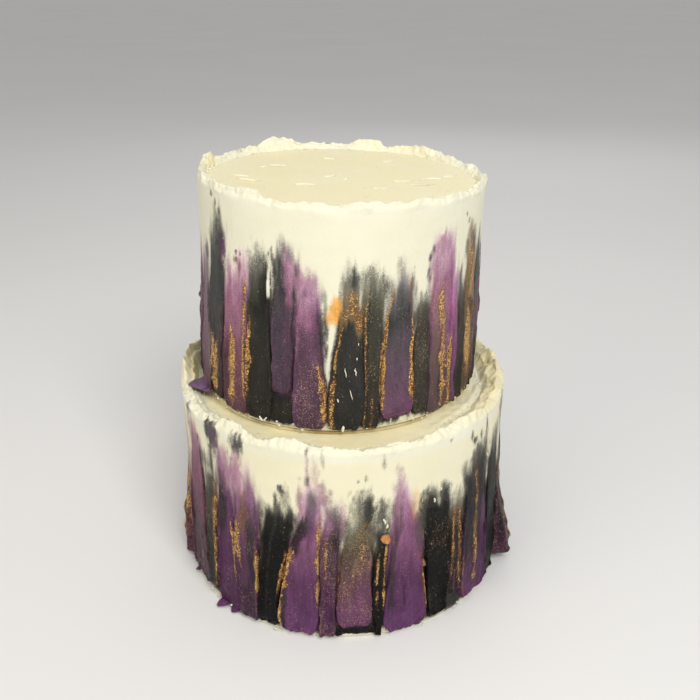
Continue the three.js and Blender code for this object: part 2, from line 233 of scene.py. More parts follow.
# %% Camera
FOCAL_PIXELS = 829.5
FRAME_PIXELS = 700
SENSOR_WIDTH = 36
CAMERA_FROM_AXIS = (4.4, -465.6, 351.6)
LOOKING_DOWN = math.radians(24.66)
ROLL = math.radians(-0.29)

camera = bpy.data.objects.new("camera", bpy.data.cameras.new("camera"))
bpy.context.scene.collection.objects.link(camera)
camera.data.sensor_width = SENSOR_WIDTH
camera.data.lens = FOCAL_PIXELS / FRAME_PIXELS * SENSOR_WIDTH
right, back, up = CAMERA_FROM_AXIS
eye = Vector((AXIS[0] + right, AXIS[1] + back, up)) * MM
turned = Matrix.Rotation(math.pi / 2 - LOOKING_DOWN, 4, "X") @ Matrix.Rotation(ROLL, 4, "Z")
camera.matrix_world = Matrix.Translation(eye) @ turned
bpy.context.scene.camera = camera
print("lens, mm:", round(camera.data.lens, 2))

# %% [markdown]
# ## Light and floor
# The cake stood in bright, even indoor light that came mostly from the front and a little from the
# right. One large area light, the key, gives that side its brightness. A warm fill from the left, a
# soft light overhead and a faint one behind lift the rest, and the sky of the scene fills the
# shadows. Power is in watts, and places and sizes of lights are in metres.

# %% Light and floor
SKY_COLOUR = (1.0, 0.99, 0.97, 1)
SKY_STRENGTH = 0.45
MIDDLE_OF_CAKE = Vector((0, 0, 0.13))
FLOOR_SIZE = 30
FLOOR_DROP = 0.0002

scene = bpy.context.scene
scene.view_settings.view_transform = "Standard"
scene.world = bpy.data.worlds.new("studio")
scene.world.use_nodes = True
sky = scene.world.node_tree.nodes["Background"]
sky.inputs["Color"].default_value = SKY_COLOUR
sky.inputs["Strength"].default_value = SKY_STRENGTH


def soft_light(name, spot, size, power, colour=(1, 1, 1)):
    """A square area light that looks at the middle of the cake."""
    light = bpy.data.lights.new(name, "AREA")
    light.size = size
    light.energy = power
    light.color = colour
    lamp = bpy.data.objects.new(name, light)
    scene.collection.objects.link(lamp)
    lamp.location = spot
    lamp.rotation_euler = (MIDDLE_OF_CAKE - Vector(spot)).to_track_quat("-Z", "Y").to_euler()


soft_light("key", (0.42, -1.02, 1.22), 0.55, 12.8, (1.0, 0.99, 0.96))
soft_light("fill", (-1.0, -0.85, 0.8), 0.9, 4.0, (1.0, 0.88, 0.7))
soft_light("overhead", (-0.1, -0.5, 1.5), 0.8, 3.0, (1.0, 0.98, 0.94))
soft_light("behind", (0.3, 1.3, 0.8), 0.9, 1.2)

bpy.ops.mesh.primitive_plane_add(size=FLOOR_SIZE, location=(0, 0, -FLOOR_DROP))
floor = bpy.context.object
floor.name = "floor"
floor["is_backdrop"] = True

# %% [markdown]
# ## Writing a finish as a sum
# A finish is a tree of nodes, and trees are hard to read as code. So a socket is wrapped in a small
# class whose plus, times and minus add Math nodes, and every other node comes from one method,
# which takes the node's type, its settings and what goes into its sockets.

# %% Wire


class Wire:
    """A shader output that can be used in sums."""

    def __init__(self, finish, socket):
        self.finish = finish
        self.socket = socket

    def sum(self, operation, *terms):
        return self.finish.node("ShaderNodeMath", {"operation": operation}, dict(enumerate(terms)))

    def __add__(self, other):
        return self.sum("ADD", self, other)

    def __radd__(self, other):
        return self.sum("ADD", other, self)

    def __sub__(self, other):
        return self.sum("SUBTRACT", self, other)

    def __rsub__(self, other):
        return self.sum("SUBTRACT", other, self)

    def __mul__(self, other):
        return self.sum("MULTIPLY", self, other)

    def __rmul__(self, other):
        return self.sum("MULTIPLY", other, self)

    def beside(self, name):
        """Another output of the same node."""
        return Wire(self.finish, self.socket.node.outputs[name])

    def clip(self):
        """Kept between 0 and 1."""
        return self.finish.node("ShaderNodeClamp", {}, {"Value": self})

    def step(self, low, high):
        """0 below low, 1 above high, soft between."""
        sockets = {"Value": self, "From Min": low, "From Max": high}
        return self.finish.node("ShaderNodeMapRange", {"interpolation_type": "SMOOTHSTEP"}, sockets)


print("a wire can:", ", ".join(name for name in vars(Wire) if not name.startswith("_")))

# %% Finish
MIX_SHARE, MIX_LOW, MIX_HIGH, MIX_RESULT = 0, 6, 7, 2


class Finish:
    """One material, built node by node."""

    def __init__(self, name):
        self.material = bpy.data.materials.new(name)
        self.material.use_nodes = True
        self.tree = self.material.node_tree
        self.shader = self.tree.nodes["Principled BSDF"]

    def node(self, kind, settings=None, sockets=None, out=0):
        """Adds a node, sets it, fills its sockets with values or wires, and gives one output."""
        made = self.tree.nodes.new(kind)
        for key, value in (settings or {}).items():
            setattr(made, key, value)
        for key, value in (sockets or {}).items():
            self.plug(made.inputs[key], value)
        return Wire(self, made.outputs[out])

    def plug(self, socket, value):
        if isinstance(value, Wire):
            self.tree.links.new(value.socket, socket)
        else:
            socket.default_value = value

    def set(self, **values):
        """Sets the shader's own sockets, with _ for a space in a name."""
        for key, value in values.items():
            self.plug(self.shader.inputs[key.replace("_", " ")], value)

    def mix(self, share, low, high, kind="MIX"):
        """A colour between low and high."""
        settings = {"data_type": "RGBA", "blend_type": kind}
        sockets = {MIX_SHARE: share, MIX_LOW: low, MIX_HIGH: high}
        return self.node("ShaderNodeMix", settings, sockets, out=MIX_RESULT)

    def stretch(self, vector, scale):
        """A vector with each direction scaled."""
        return self.node("ShaderNodeVectorMath", {"operation": "MULTIPLY"}, {0: vector, 1: scale})

    def place(self):
        """The place on the piece, in metres."""
        return self.node("ShaderNodeTexCoord", out="Object")

    def attribute(self, name, out="Fac"):
        return self.node("ShaderNodeAttribute", {"attribute_name": name}, out=out)

    def noise(self, vector, size, detail=2.0, roughness=0.5):
        """Soft noise, -0.5 to 0.5, whose blotches are about size metres across."""
        sockets = {"Vector": vector, "Scale": 1 / size, "Detail": detail, "Roughness": roughness}
        return self.node("ShaderNodeTexNoise", {}, sockets) - 0.5

    def bump(self, height, distance, strength=1.0):
        sockets = {"Height": height, "Distance": distance, "Strength": strength}
        return self.node("ShaderNodeBump", {}, sockets)


def linear(text):
    """A colour written as rrggbb, as light."""
    parts = [int(text[i:i + 2], 16) / 255 for i in (0, 2, 4)]
    return tuple(p / 12.92 if p <= 0.04045 else ((p + 0.055) / 1.055) ** 2.4 for p in parts)


def opaque(text):
    """The same with full opacity, as a shader's colour socket takes it."""
    return (*linear(text), 1)


print("ivory as light:", [round(p, 3) for p in linear("f1ecd6")])

# %% [markdown]
# ## Floor finish
# The floor is plain and pale, with a breath of unevenness so that it doesn't look like paper.

# %% Floor finish
pale = Finish("pale_floor")
cloud = pale.noise(pale.place(), 0.5) + 0.5
pale.set(Base_Color=pale.mix(cloud, (0.8, 0.8, 0.8, 1), (0.86, 0.86, 0.86, 1)), Roughness=0.8)
floor.data.materials.append(pale.material)
print("floor finish:", pale.material.name)

# %% [markdown]
# ## The strokes, one by one
# Each row is one pull of the knife. "seam" is its left edge's angle in degrees and "lean" how far
# that edge moves right by the top of the wall. A stroke reaches to the next one's seam, from "foot"
# to "top". "point" and "tip" say how much it narrows and where to, and "flick" how far its foot was
# thrown outwards and over what height. "lumps" are blobs: place across, height, reach and rise.
# These repeat the solids.
#
# What the solids don't hold is the paint. "look" names the cream's colours, "reach" is the length of
# its feathered top in millimetres and "dust" the metal powder on it. Each vein is a line of another
# cream or of brushed gold along the pull: its place across, lowest and highest point, width in
# millimetres, cream and strength. "lip" is the height of a dark lip under a foot that ends high, and
# "gaps" leave bare wall beside a stroke, left and right.

# %% A row for one pull


def stroke(seam, lean, foot, top, point, tip, tone, look, reach, dust,
           veins=(), lip=None, lumps=(), gaps=(0, 0), flick=(0, 16)):
    return {
        "seam": seam, "lean": lean, "foot": foot, "top": top, "point": point, "tip": tip, "tone": tone,
        "look": look, "reach": reach, "dust": dust, "veins": veins, "lip": lip, "lumps": lumps, "gaps": gaps,
        "flick": flick,
    }


print("a row holds:", ", ".join(stroke(*range(10))))

# %% Front strokes of the lower round
LOWER["front_end"] = 81
LOWER["front"] = [
    stroke(-84, 0, 1.2, 84, 0.4, 0.5, "copper", "brown", 30, 0.6,
           [(0.35, 20, 76, 4.6, "gold", 1.05), (0.85, 26, 72, 3, "gold", 1.0)],
           lumps=[(0.4, 34, 8, 1.6), (0.3, 20, 5, 1.0)], flick=(5, 80)),
    stroke(-76, 0, 1, 90, 0.35, 0.5, "plum", "brown", 26, 0.5,
           [(0.3, 20, 70, 2.0, "gold", 0.8), (0.7, 0, 50, 5, "violet", 0.7)]),
    stroke(-70, 5, 3.5, 112, 0.4, 0.6, "rose", "wine", 12, 0.25,
           [(0.1, 66, 100, 2, "wine", 0.8), (0.97, 72, 112, 1.6, "black", 0.9),
            (0.6, 14, 40, 1.4, "gold", 0.5)]),
    stroke(-54, -1, 8, 96, 0.3, 0.5, "olive", "olive", 12, 0.25,
           [(0.8, 9, 86, 3.6, "copper", 0.9), (0.85, 9, 84, 2.4, "gold", 0.8),
            (0.5, 88, 104, 7, "slate", 0.6)]),
    stroke(-47.5, 2, 1, 106, 0.35, 0.5, "rose", "violet", 10, 0.2,
           [(0.3, 50, 98, 6, "black", 0.8), (0.78, 84, 112, 5, "rose", 0.6),
            (0.62, 60, 100, 1.4, "black", 0.6), (0.93, 26, 60, 2.6, "gold", 0.9)]),
    stroke(-38, -2, 1, 98, 0.45, 0.4, "plum", "plum", 14, 0.25,
           [(0.5, 0, 24, 8, "dark", 0.7), (0.7, 22, 66, 5, "dark", 0.8),
            (0.15, 38, 66, 3.4, "gold", 0.86), (0.4, 66, 92, 5, "copper", 0.8),
            (0.3, 88, 108, 7, "rose", 0.9), (0.95, 24, 52, 3, "gold", 1.0)]),
    stroke(-29.5, 4, 2, 85, 0.2, 0.5, "black", "soot", 6, 0.04,
           [(0.04, 42, 74, 2.4, "olive", 0.8), (0.4, 10, 80, 0.8, "slate", 0.4),
            (0.97, 30, 60, 1.6, "gold", 1.0)]),
    stroke(-22.5, 14, 1.2, 101, 0.4, 0.6, "purple", "purple", 8, 0.12,
           [(0.1, 58, 84, 7, "soot", 0.9), (0.02, 10, 62, 5.4, "gold", 1.35),
            (0.95, 26, 84, 2.2, "gold", 1.05), (0.5, 74, 99, 4, "slate", 0.75),
            (0.13, 4, 34, 3.0, "slate", 0.85), (0.6, 62, 90, 3, "violet", 0.5)]),
    stroke(-8.3, 3, 1, 92, 0.3, 0.6, "plum", "plum", 10, 0.7,
           [(0.7, 48, 80, 8, "smoke", 0.6), (0.3, 30, 78, 1.6, "gold", 0.8),
            (0.8, 70, 95, 5, "black", 0.7), (0.5, 0, 40, 6, "violet", 0.8)]),
    stroke(-2.8, 4, 8.5, 82, 0.4, 0.6, "bronze", "bronze", 16, 0.7,
           [(0.9, 12, 64, 1.3, "rose", 0.8), (0.03, 22, 56, 1.2, "gold", 0.8),
            (0.75, 72, 96, 3.4, "black", 0.85), (0.5, 34, 60, 16, "gold", 0.3)], 7.6),
    stroke(10.2, 0, 1, 78, 0.1, 0.5, "black", "black", 8, 0.1,
           [(0.3, 22, 60, 1.0, "gold", 1.0), (0.9, 22, 66, 1.2, "gold", 1.0)]),
    stroke(12.6, 5, 1.2, 101, 0.85, 0.3, "purple", "purple", 9, 0.1,
           [(0.14, 14, 74, 4.5, "slate", 0.7), (0.45, 16, 32, 1.2, "black", 0.8),
            (0.97, 6, 54, 2.4, "copper", 0.9), (0.97, 10, 54, 1.6, "gold", 0.7),
            (0.3, 72, 88, 4, "slate", 0.5)],
           lumps=[(0.97, 47, 4, 1.2), (0.3, 23, 3.2, -1.3), (0.4, 15, 3.2, -1.4), (0.2, 14, 5, 0.8),
                  (0.58, 12, 6, 0.9)]),
    stroke(29, -6, 2.5, 88, 0.25, 0.6, "black", "soot", 8, 0.16,
           [(0.5, 84, 96, 3, "ivory", 0.5), (0.6, 50, 72, 12, "gold", 0.2)]),
    stroke(37.2, 1, 12, 80, 0.3, 0.4, "copper", "umber", 8, 0.2,
           [(0.2, 4, 27, 4, "black", 0.95), (0.5, 30, 66, 2.4, "black", 1.0),
            (0.2, 26, 82, 2.0, "gold", 0.66), (0.78, 14, 78, 3.6, "umber", 1.0),
            (0.78, 14, 80, 2.4, "gold", 0.64), (0.5, 4, 30, 1.0, "rose", 0.8)]),
    stroke(43.4, 0, 1.6, 100, 0.3, 0.5, "purple", "tongue", 9, 0.1,
           [(0.22, 44, 100, 11, "dark", 1.0), (0.85, 12, 66, 4, "violet", 0.9),
            (0.48, 14, 96, 5, "umber", 1.0), (0.48, 36, 94, 3.0, "gold", 0.68),
            (0.54, 7, 44, 3.4, "gold", 0.7), (0.04, 6, 40, 1.6, "gold", 0.6)],
           lumps=[(0.3, 6, 5, 0.9), (0.7, 9, 5, 1.0)]),
    stroke(58.5, -1, 1.2, 97, 0.3, 0.5, "black", "soot", 14, 0.05),
    stroke(70, 0, 5, 88, 0.4, 0.5, "plum", "raisin", 14, 0.5,
           [(0.2, 30, 86, 2.4, "black", 0.8), (0.75, 12, 86, 2.6, "gold", 1.05),
            (0.4, 10, 40, 1.8, "gold", 0.8)],
           lumps=[(0.75, 16, 5, 1.8), (0.4, 9, 4, 1.4), (0.6, 26, 4, 1.2), (0.7, 40, 5, 0.9)],
           flick=(9, 60)),
]
print("front strokes of the lower round:", len(LOWER["front"]))

# %% Front strokes of the upper round
UPPER["front_end"] = 77
UPPER["front"] = [
    stroke(-81, 0, 1, 84, 0.4, 0.5, "plum", "plum", 10, 0.3,
           [(0.4, 20, 70, 1.5, "gold", 0.5)], lumps=[(0.2, 54, 3.2, 1.6)]),
    stroke(-71, 0, 1, 88, 0.35, 0.5, "purple", "haze", 12, 0.3,
           [(0.7, 5, 34, 5, "gold", 0.45), (0.3, 60, 88, 2, "slate", 0.7),
            (0.95, 30, 66, 1.4, "black", 0.7)], lumps=[(0.1, 3.5, 5.5, 5)]),
    stroke(-60.5, -2, 3.5, 104, 0.45, 0.7, "black", "slate", 12, 0.06,
           [(0.1, 14, 34, 1.4, "black", 0.9), (0.3, 2, 13, 9, "black", 0.9),
            (0.34, 12, 42, 6.4, "gold", 1.1), (0.85, 4, 52, 4, "wine", 0.8)]),
    stroke(-51, 5, 1, 88, 0.25, 0.6, "rose", "rose", 9, 0.4,
           [(0.93, 8, 80, 2.2, "gold", 1.0), (0.45, 4, 50, 5, "gold", 1.05),
            (0.15, 2, 50, 4, "wine", 0.8)]),
    stroke(-36.6, 1, 2, 90, 0.3, 0.5, "black", "black", 9, 0.03,
           [(0.6, 0, 12, 8, "slate", 0.7), (0.1, 14, 66, 3.6, "gold", 0.85),
            (0.2, 56, 96, 5, "olive", 0.6)]),
    stroke(-25.6, 0, 20, 100, 0.45, 0.7, "purple", "dusk", 7, 0.22,
           [(0.15, 66, 98, 3.2, "slate", 0.9), (0.75, 72, 95, 4.5, "rose", 0.95),
            (0.8, 20, 74, 3, "plum", 0.6)], 19),
    stroke(-17, 2, 1.2, 88, 0.5, 0.3, "purple", "plum", 9, 0.5,
           [(0.93, 4, 38, 3.4, "gold", 0.85), (0.5, 62, 84, 8, "purple", 0.9),
            (0.1, 4, 60, 2.5, "purple", 0.7)], gaps=(0, 4.5)),
    stroke(-3, 1, 1, 86, 0.3, 0.7, "black", "ink", 11, 0.06,
           [(0.07, 3, 60, 1.9, "gold", 0.8), (0.5, 60, 80, 12, "sand", 0.85),
            (0.5, 63, 79, 11, "gold", 0.62), (0.6, 82, 92, 7, "slate", 0.6),
            (0.78, 76, 88, 1.4, "ivory", 0.7)], gaps=(3.4, 0)),
    stroke(9.8, -1, 1, 90, 0.2, 0.5, "olive", "olive", 11, 0.55,
           [(0.06, 4, 84, 1.5, "gold", 0.7), (0.16, 6, 90, 0.9, "black", 0.9),
            (0.5, 2, 22, 2.2, "gold", 0.6), (0.85, 2, 20, 3, "black", 0.9)]),
    stroke(16.4, -1, 5, 84, 0.5, 0.55, "bronze", "mauve", 9, 0.14,
           [(0.04, 16, 84, 2.3, "gold", 1.2), (0.95, 14, 62, 2.4, "gold", 1.15),
            (0.93, 60, 86, 2, "brown", 0.8), (0.5, 58, 80, 8, "slate", 0.6)]),
    stroke(30, -1, 4, 72, 0.3, 0.7, "olive", "smoke", 9, 0.4,
           [(0.1, 12, 60, 1.4, "gold", 0.4)]),
    stroke(36.4, -1, 1, 104, 0.3, 0.6, "rose", "rosewood", 7, 0.45,
           [(0.28, 16, 74, 4, "sand", 0.55), (0.9, 34, 90, 3, "orchid", 0.95),
            (0.55, 4, 50, 1.2, "black", 0.8), (0.42, 56, 80, 2.8, "gold", 1.05),
            (0.58, 34, 62, 2.6, "gold", 1.05), (0.7, 4, 42, 3.0, "gold", 1.1)]),
    stroke(46.6, 2, 2, 80, 0.35, 0.5, "rose", "orchid", 7, 0.12,
           [(0.6, 10, 50, 2, "plum", 0.9), (0.12, 2, 44, 6, "gold", 1.7),
            (0.85, 38, 70, 2.2, "rose", 0.9)]),
    stroke(52, 1, 1, 78, 0.2, 0.5, "black", "smoke", 9, 0.1),
    stroke(57, 1, 1, 100, 0.35, 0.5, "copper", "sand", 10, 0.6,
           [(0.45, 12, 60, 6.5, "gold", 1.5), (0.6, 54, 62, 7, "black", 0.7),
            (0.4, 60, 100, 3, "gold", 0.9), (0.3, 2, 22, 5, "smoke", 0.8)]),
    stroke(66.5, 0, 1.5, 94, 0.35, 0.5, "plum", "slate", 10, 0.15,
           [(0.25, 30, 50, 1.8, "gold", 0.6), (0.6, 10, 60, 4, "violet", 0.6)]),
]
print("front strokes of the upper round:", len(UPPER["front"]))

# %% [markdown]
# ## The strokes nobody photographed
# The back is finished like the front. A rule draws those strokes, with the same random walk as the
# solids, so each fine stroke lies on its own solid. Its veins are drawn after that from another
# walk: one or two lines of gold and a band of a neighbouring cream.

# %% Back strokes
BACK_TONES = ["purple", "black", "plum", "olive", "rose", "black", "purple", "copper", "bronze", "black"]
BACK_LOOKS = {
    "purple": ["purple", "violet", "dusk"], "black": ["black", "ink", "slate"],
    "plum": ["plum", "wine", "dark"], "olive": ["olive", "smoke"], "rose": ["rose", "orchid"],
    "copper": ["brown", "sand"], "bronze": ["bronze", "mauve"],
}
BACK_SHAPES = {
    "lean": (-2.5, 2.5), "foot": (1, 4), "top": (76, 106), "point": (0.2, 0.55), "tip": (0.35, 0.65),
}
BAND_CREAMS = ["black", "slate", "violet", "rose", "wine", "copper"]
NEAR_A_SIDE = [0.06, 0.94]
SECOND_GOLD_CHANCE = 0.5
LOWER["back_seed"] = 611
UPPER["back_seed"] = 734


def back_veins(paint):
    """Lines of gold and a band of another cream for one stroke."""
    draw = paint.uniform
    veins = [(paint.choice(NEAR_A_SIDE), draw(4, 30), draw(45, 85), draw(1.4, 2.8), "gold", draw(0.7, 1))]
    if paint.random() < SECOND_GOLD_CHANCE:
        veins.append((draw(0.3, 0.7), draw(4, 40), draw(48, 80), draw(1, 4), "gold", 0.6))
    band, start = str(paint.choice(BAND_CREAMS)), draw(0, 60)
    veins.append((draw(0.1, 0.9), start, start + draw(15, 40), draw(2, 6), band, 0.8))
    return veins


def back_strokes(tier):
    random = make_random(tier["back_seed"])
    paint = np.random.default_rng(tier["back_seed"])
    start, end = tier["front_end"], tier["front"][0]["seam"] + 360
    steps = [1 + 0.5 * (next(random) - 0.5) for _ in range(2 * len(BACK_TONES))]
    made, seam = [], start
    for i, step in enumerate(steps):
        shape = {key: blend(low, high, next(random)) for key, (low, high) in BACK_SHAPES.items()}
        shape["lean"] = shape["lean"] if i else 0
        tone = BACK_TONES[i // 2]
        look = str(paint.choice(BACK_LOOKS[tone]))
        reach, dust = paint.uniform(7, 14), paint.uniform(0.05, 0.6)
        veins = back_veins(paint)
        made.append(stroke(seam, **shape, tone=tone, look=look, reach=reach, dust=dust, veins=veins))
        seam += step / sum(steps) * (end - start)
    return made


for tier in (LOWER, UPPER):
    tier["strokes"] = tier["front"] + back_strokes(tier)
    print(tier["name"], "round has", len(tier["strokes"]), "pulls of the knife")

# %% [markdown]
# ## The shape of a pull
# A knife leaves a rounded, thick foot, raised side edges and a top that thins out. These helpers say
# where one stroke lies at a height, and the same helpers serve the strokes' own meshes and the
# paint that soaks into the wall around them, so the two always meet.

# %% Shape of a stroke
SWAY = 1.2
SWAY_FROM_FOOT = 16
SWAY_SEED, SWAY_BUMPS = 7919, 6
LEAN_CURVE = 1.5
GAP_OPENS = (6, 64)
FOOT_SHARE, LEAST_SHARE = 0.42, 0.06
FOOT_ROUNDING = 0.55
PAST_THE_TOP = 1.6


@functools.cache
def sway_of(i):
    """How seam i sways from side to side on its way up, -1 to 1."""
    return uneven_ring(SWAY_SEED * (i + 1), SWAY_BUMPS)


def seam_at(tier, i, height):
    """Angle in radians of the seam to the left of stroke i at a height."""
    turns, i = divmod(i, len(tier["strokes"]))
    it = tier["strokes"][i]
    sway = SWAY * ease(0, SWAY_FROM_FOOT, height) * sway_of(i)(height / tier["height"] * math.tau)
    lean = it["lean"] * (np.maximum(height, 0) / tier["height"]) ** LEAN_CURVE
    return np.radians(it["seam"] + 360 * turns + lean) + sway / tier["radius"]


def gaps_at(it, height):
    """Bare wall left and right of a stroke in mm. It opens upwards from the foot."""
    growth = ease(*GAP_OPENS, height)
    return it["gaps"][0] * growth, it["gaps"][1] * growth


def spread(tier, i, height, it, narrowing=2.2):
    """Left and right seam, place it narrows to, share of the width, way up and way into the foot."""
    foot, top = it["foot"], it["top"]
    left_gap, right_gap = gaps_at(it, height)
    left = seam_at(tier, i, height) + left_gap / tier["radius"]
    right = seam_at(tier, i + 1, height) - right_gap / tier["radius"]
    width = tier["radius"] * (seam_at(tier, i + 1, foot) - seam_at(tier, i, foot))
    rounding = min(FOOT_ROUNDING * width, (top - foot) / 2)
    up = np.clip((height - foot) / (top - foot), 0, PAST_THE_TOP)
    below = np.clip(1 - (height - foot) / rounding, 0, 1)
    slim = np.maximum(LEAST_SHARE, 1 - it["point"] * up ** narrowing)
    share = blend(FOOT_SHARE, 1, np.sqrt(1 - below ** 2)) * slim
    return left, right, blend(0.5, it["tip"], np.minimum(up, 1)), share, up, below


front_seam = np.degrees(seam_at(LOWER, 9, np.array([0.0, 80.0])))
print("a front seam of the lower round, degrees:", front_seam.round(1))

# %% [markdown]
# ## Colours of the creams
# Each cream is a short ladder of colours from foot to feathered top. Thick cream at the foot is
# deep, and the thin top lets ivory through, so purple turns to pink and black to olive grey.

# %% Cream colours
LOOKS = {
    "purple": ["683c69", "5c3457", "9c688a", "eecadc"],
    "violet": ["4a2149", "552a53", "683f64", "c294b6"],
    "rose": ["5e3450", "6f4052", "a26e89", "eac8d6"],
    "orchid": ["653a5e", "7f4778", "a5608f", "d0a2c4"],
    "rosewood": ["5c4852", "664b55", "a8728e", "eacadb"],
    "raisin": ["46203e", "3a1b32", "281722", "54393f"],
    "wine": ["3a1a32", "42202f", "824e68", "b98aa0"],
    "plum": ["4e3249", "54344b", "6a4462", "c092b0"],
    "haze": ["66495b", "715768", "79636e", "b0a8ab"],
    "dark": ["331232", "281627", "191719", "3a3936"],
    "black": ["111112", "161614", "1a1a17", "4a4b42"],
    "soot": ["070708", "0a0a0a", "0e0e0d", "2a2a26"],
    "ink": ["1a1c1d", "202224", "2b2c27", "7b7c70"],
    "slate": ["202022", "302f32", "3b3d3b", "696d66"],
    "smoke": ["262420", "322d27", "3e3932", "76786b"],
    "olive": ["201f1a", "2c2a22", "3c3c32", "808270"],
    "bronze": ["6e3e68", "694358", "544a38", "74725f"],
    "mauve": ["6b3f64", "5f4a5c", "34363a", "9a9294"],
    "dusk": ["4f374e", "463346", "33303a", "8c7a88"],
    "tongue": ["6a3868", "34182e", "1d171b", "3c3836"],
    "umber": ["2c1622", "2e1f16", "382818", "70604e"],
    "copper": ["472e30", "6a4936", "7c5639", "8f7266"],
    "brown": ["4a2240", "55302f", "6b4436", "b08a88"],
    "sand": ["4b392c", "6f5437", "8b7350", "b3a384"],
    "peach": ["dc8f3a", "e49c40", "f2b04e", "f4ddb4"],
    "ivory": ["ece6cd", "ece6cd", "ece6cd", "ece6cd"],
}
LADDER = [0, 0.38, 0.76, 1.06]
IVORY = linear("f0ebd4")
# The dark of the film between strokes: dark cream and painted shade together.
SMUDGE_AND_SHADE_DARK = np.array(linear("1a1617"))


def cream_colour(look, up):
    """Colour of a cream as light, at a share of the way up."""
    steps = np.array([linear(text) for text in LOOKS[look]])
    return np.stack([np.interp(up, LADDER, steps[:, k]) for k in range(3)], axis=-1)


print("creams:", ", ".join(LOOKS))

# %% [markdown]
# ## A sheet of paint
# How much pigment lies at a point is worked out once, for wall and stroke alike. A sheet holds it
# for many points: how much pigment, its colour, brushed gold and metal dust. Paint is laid over
# paint, as it is on the cake, and a scrape takes it off again.

# %% Sheet


class Sheet:
    """Paint at many points."""

    def __init__(self, shape):
        self.amount, self.gold, self.dust = (np.zeros(shape) for _ in range(3))
        self.colour = np.ones(shape + (3,)) * IVORY

    def lay(self, more, tint, gold=0.0, dust=None, where=slice(None)):
        """Lays paint of opacity more over what is there."""
        total = 1 - (1 - self.amount[where]) * (1 - more)
        share = (more / np.maximum(total, 1e-6))[..., None]
        self.colour[where] = blend(self.colour[where], tint, share)
        self.gold[where] = blend(self.gold[where], gold, more)
        if dust is not None:
            self.dust[where] = blend(self.dust[where], dust, more)
        self.amount[where] = total

    def values(self, mask=1.0, extra=0):
        """What a mesh keeps at each point, with extra bare points at the end."""
        pad = np.zeros(extra)
        return {
            "amount": np.concatenate([(self.amount * mask).ravel(), pad]),
            "gold": np.concatenate([(self.gold * mask).ravel(), pad]),
            "dust": np.concatenate([(self.dust * mask).ravel(), pad]),
            "pigment": np.concatenate([self.colour.reshape(-1, 3), np.ones((extra, 3)) * IVORY]),
        }


print("a sheet of 4 points starts at", Sheet((4,)).amount)

# %% [markdown]
# ## Paint of one stroke
# A stroke's paint is full in its body, soft at its sides and fades past its top in uneven fingers,
# because the knife runs dry. Veins follow the pull with a slight wander, swell and thin out as they
# go, and end softly.

# %% Paint of one stroke
PAINT_NARROWING = 3.4
VEIN_ENDS = 0.16


def vein_share(vein, across, width, height, drift, swell):
    """How much of a vein lies at each point, 0 to 1."""
    spot, low, high, wide = vein[:4]
    away = np.abs((across - spot) * width + drift * min(1.0, 0.4 * wide))
    near = 1 - ease(0.2, 0.85, away / (wide * swell))
    ends = VEIN_ENDS * (high - low)
    return near * ease(low - ends, low + ends, height) * (1 - ease(high - ends, high + ends, height))


def lay_stroke_paint(sheet, tier, i, turn, height, it, where=slice(None), spill=0.8):
    """Lays stroke i on a sheet. turn and height are those of the points in where."""
    radius, seed = tier["radius"], 23 * i + int(tier["radius"])
    arc = turn * radius
    left, right, aim, share, up, _ = spread(tier, i, height, it, PAINT_NARROWING)
    across = aim + ((turn - left) / (right - left) - aim) / share
    width = share * (right - left) * radius

    softness = 0.4 + 3 * np.clip(up, 0, 1) ** 2
    ragged = relief(seed, arc, height, 1.6, 9) * softness * 0.6
    side = ease(-softness, softness, np.minimum(across, 1 - across) * width + spill + ragged)
    fingers = 0.5 * relief_along(seed + 1, arc, 3.6) + 0.3 * relief(seed + 2, arc, height, 1.3, 16)
    fingers = it["reach"] * fingers
    fade = 1 - ease(it["top"] - 1.2 * it["reach"], it["top"] + 0.95 * it["reach"], height + fingers)
    foot = ease(-0.8, 0.4, height - it["foot"])

    tint = cream_colour(it["look"], up + 0.01 * fingers)
    gold = np.zeros_like(height)
    drift = 0.6 * relief_along(seed + 3, height, 9) + 0.35 * relief_along(seed + 4, height, 2.5)
    swell = 1 + 0.5 * relief_along(seed + 5, height, 6)
    worn = 0.9 + 0.4 * relief(seed + 6, arc, height, 1.5, 5)
    for vein in it["veins"]:
        look, strength = vein[4:]
        near = vein_share(vein, across, width, height + fingers, drift, swell)
        if look == "gold":
            gold = np.maximum(gold, strength * near * worn)
        else:
            tint = blend(tint, cream_colour(look, up), (strength * near)[..., None])
            gold = gold * (1 - strength * near)
    dust = it["dust"] * (0.6 + 0.8 * relief(seed + 7, arc, height, 6, 18))
    sheet.lay(side * fade * foot, tint, gold, np.maximum(dust, 0), where)


print("strokes to paint:", len(LOWER["strokes"]) + len(UPPER["strokes"]))

# %% [markdown]
# ## Smears, specks and bare streaks
# Stray touches of the knife lie on the wall above the strokes. Each is an angle, a height, its half
# width and half height in millimetres, a cream and a strength. Bare streaks, written the same way
# without a cream, are where the wall was never painted. Those at the back are drawn.

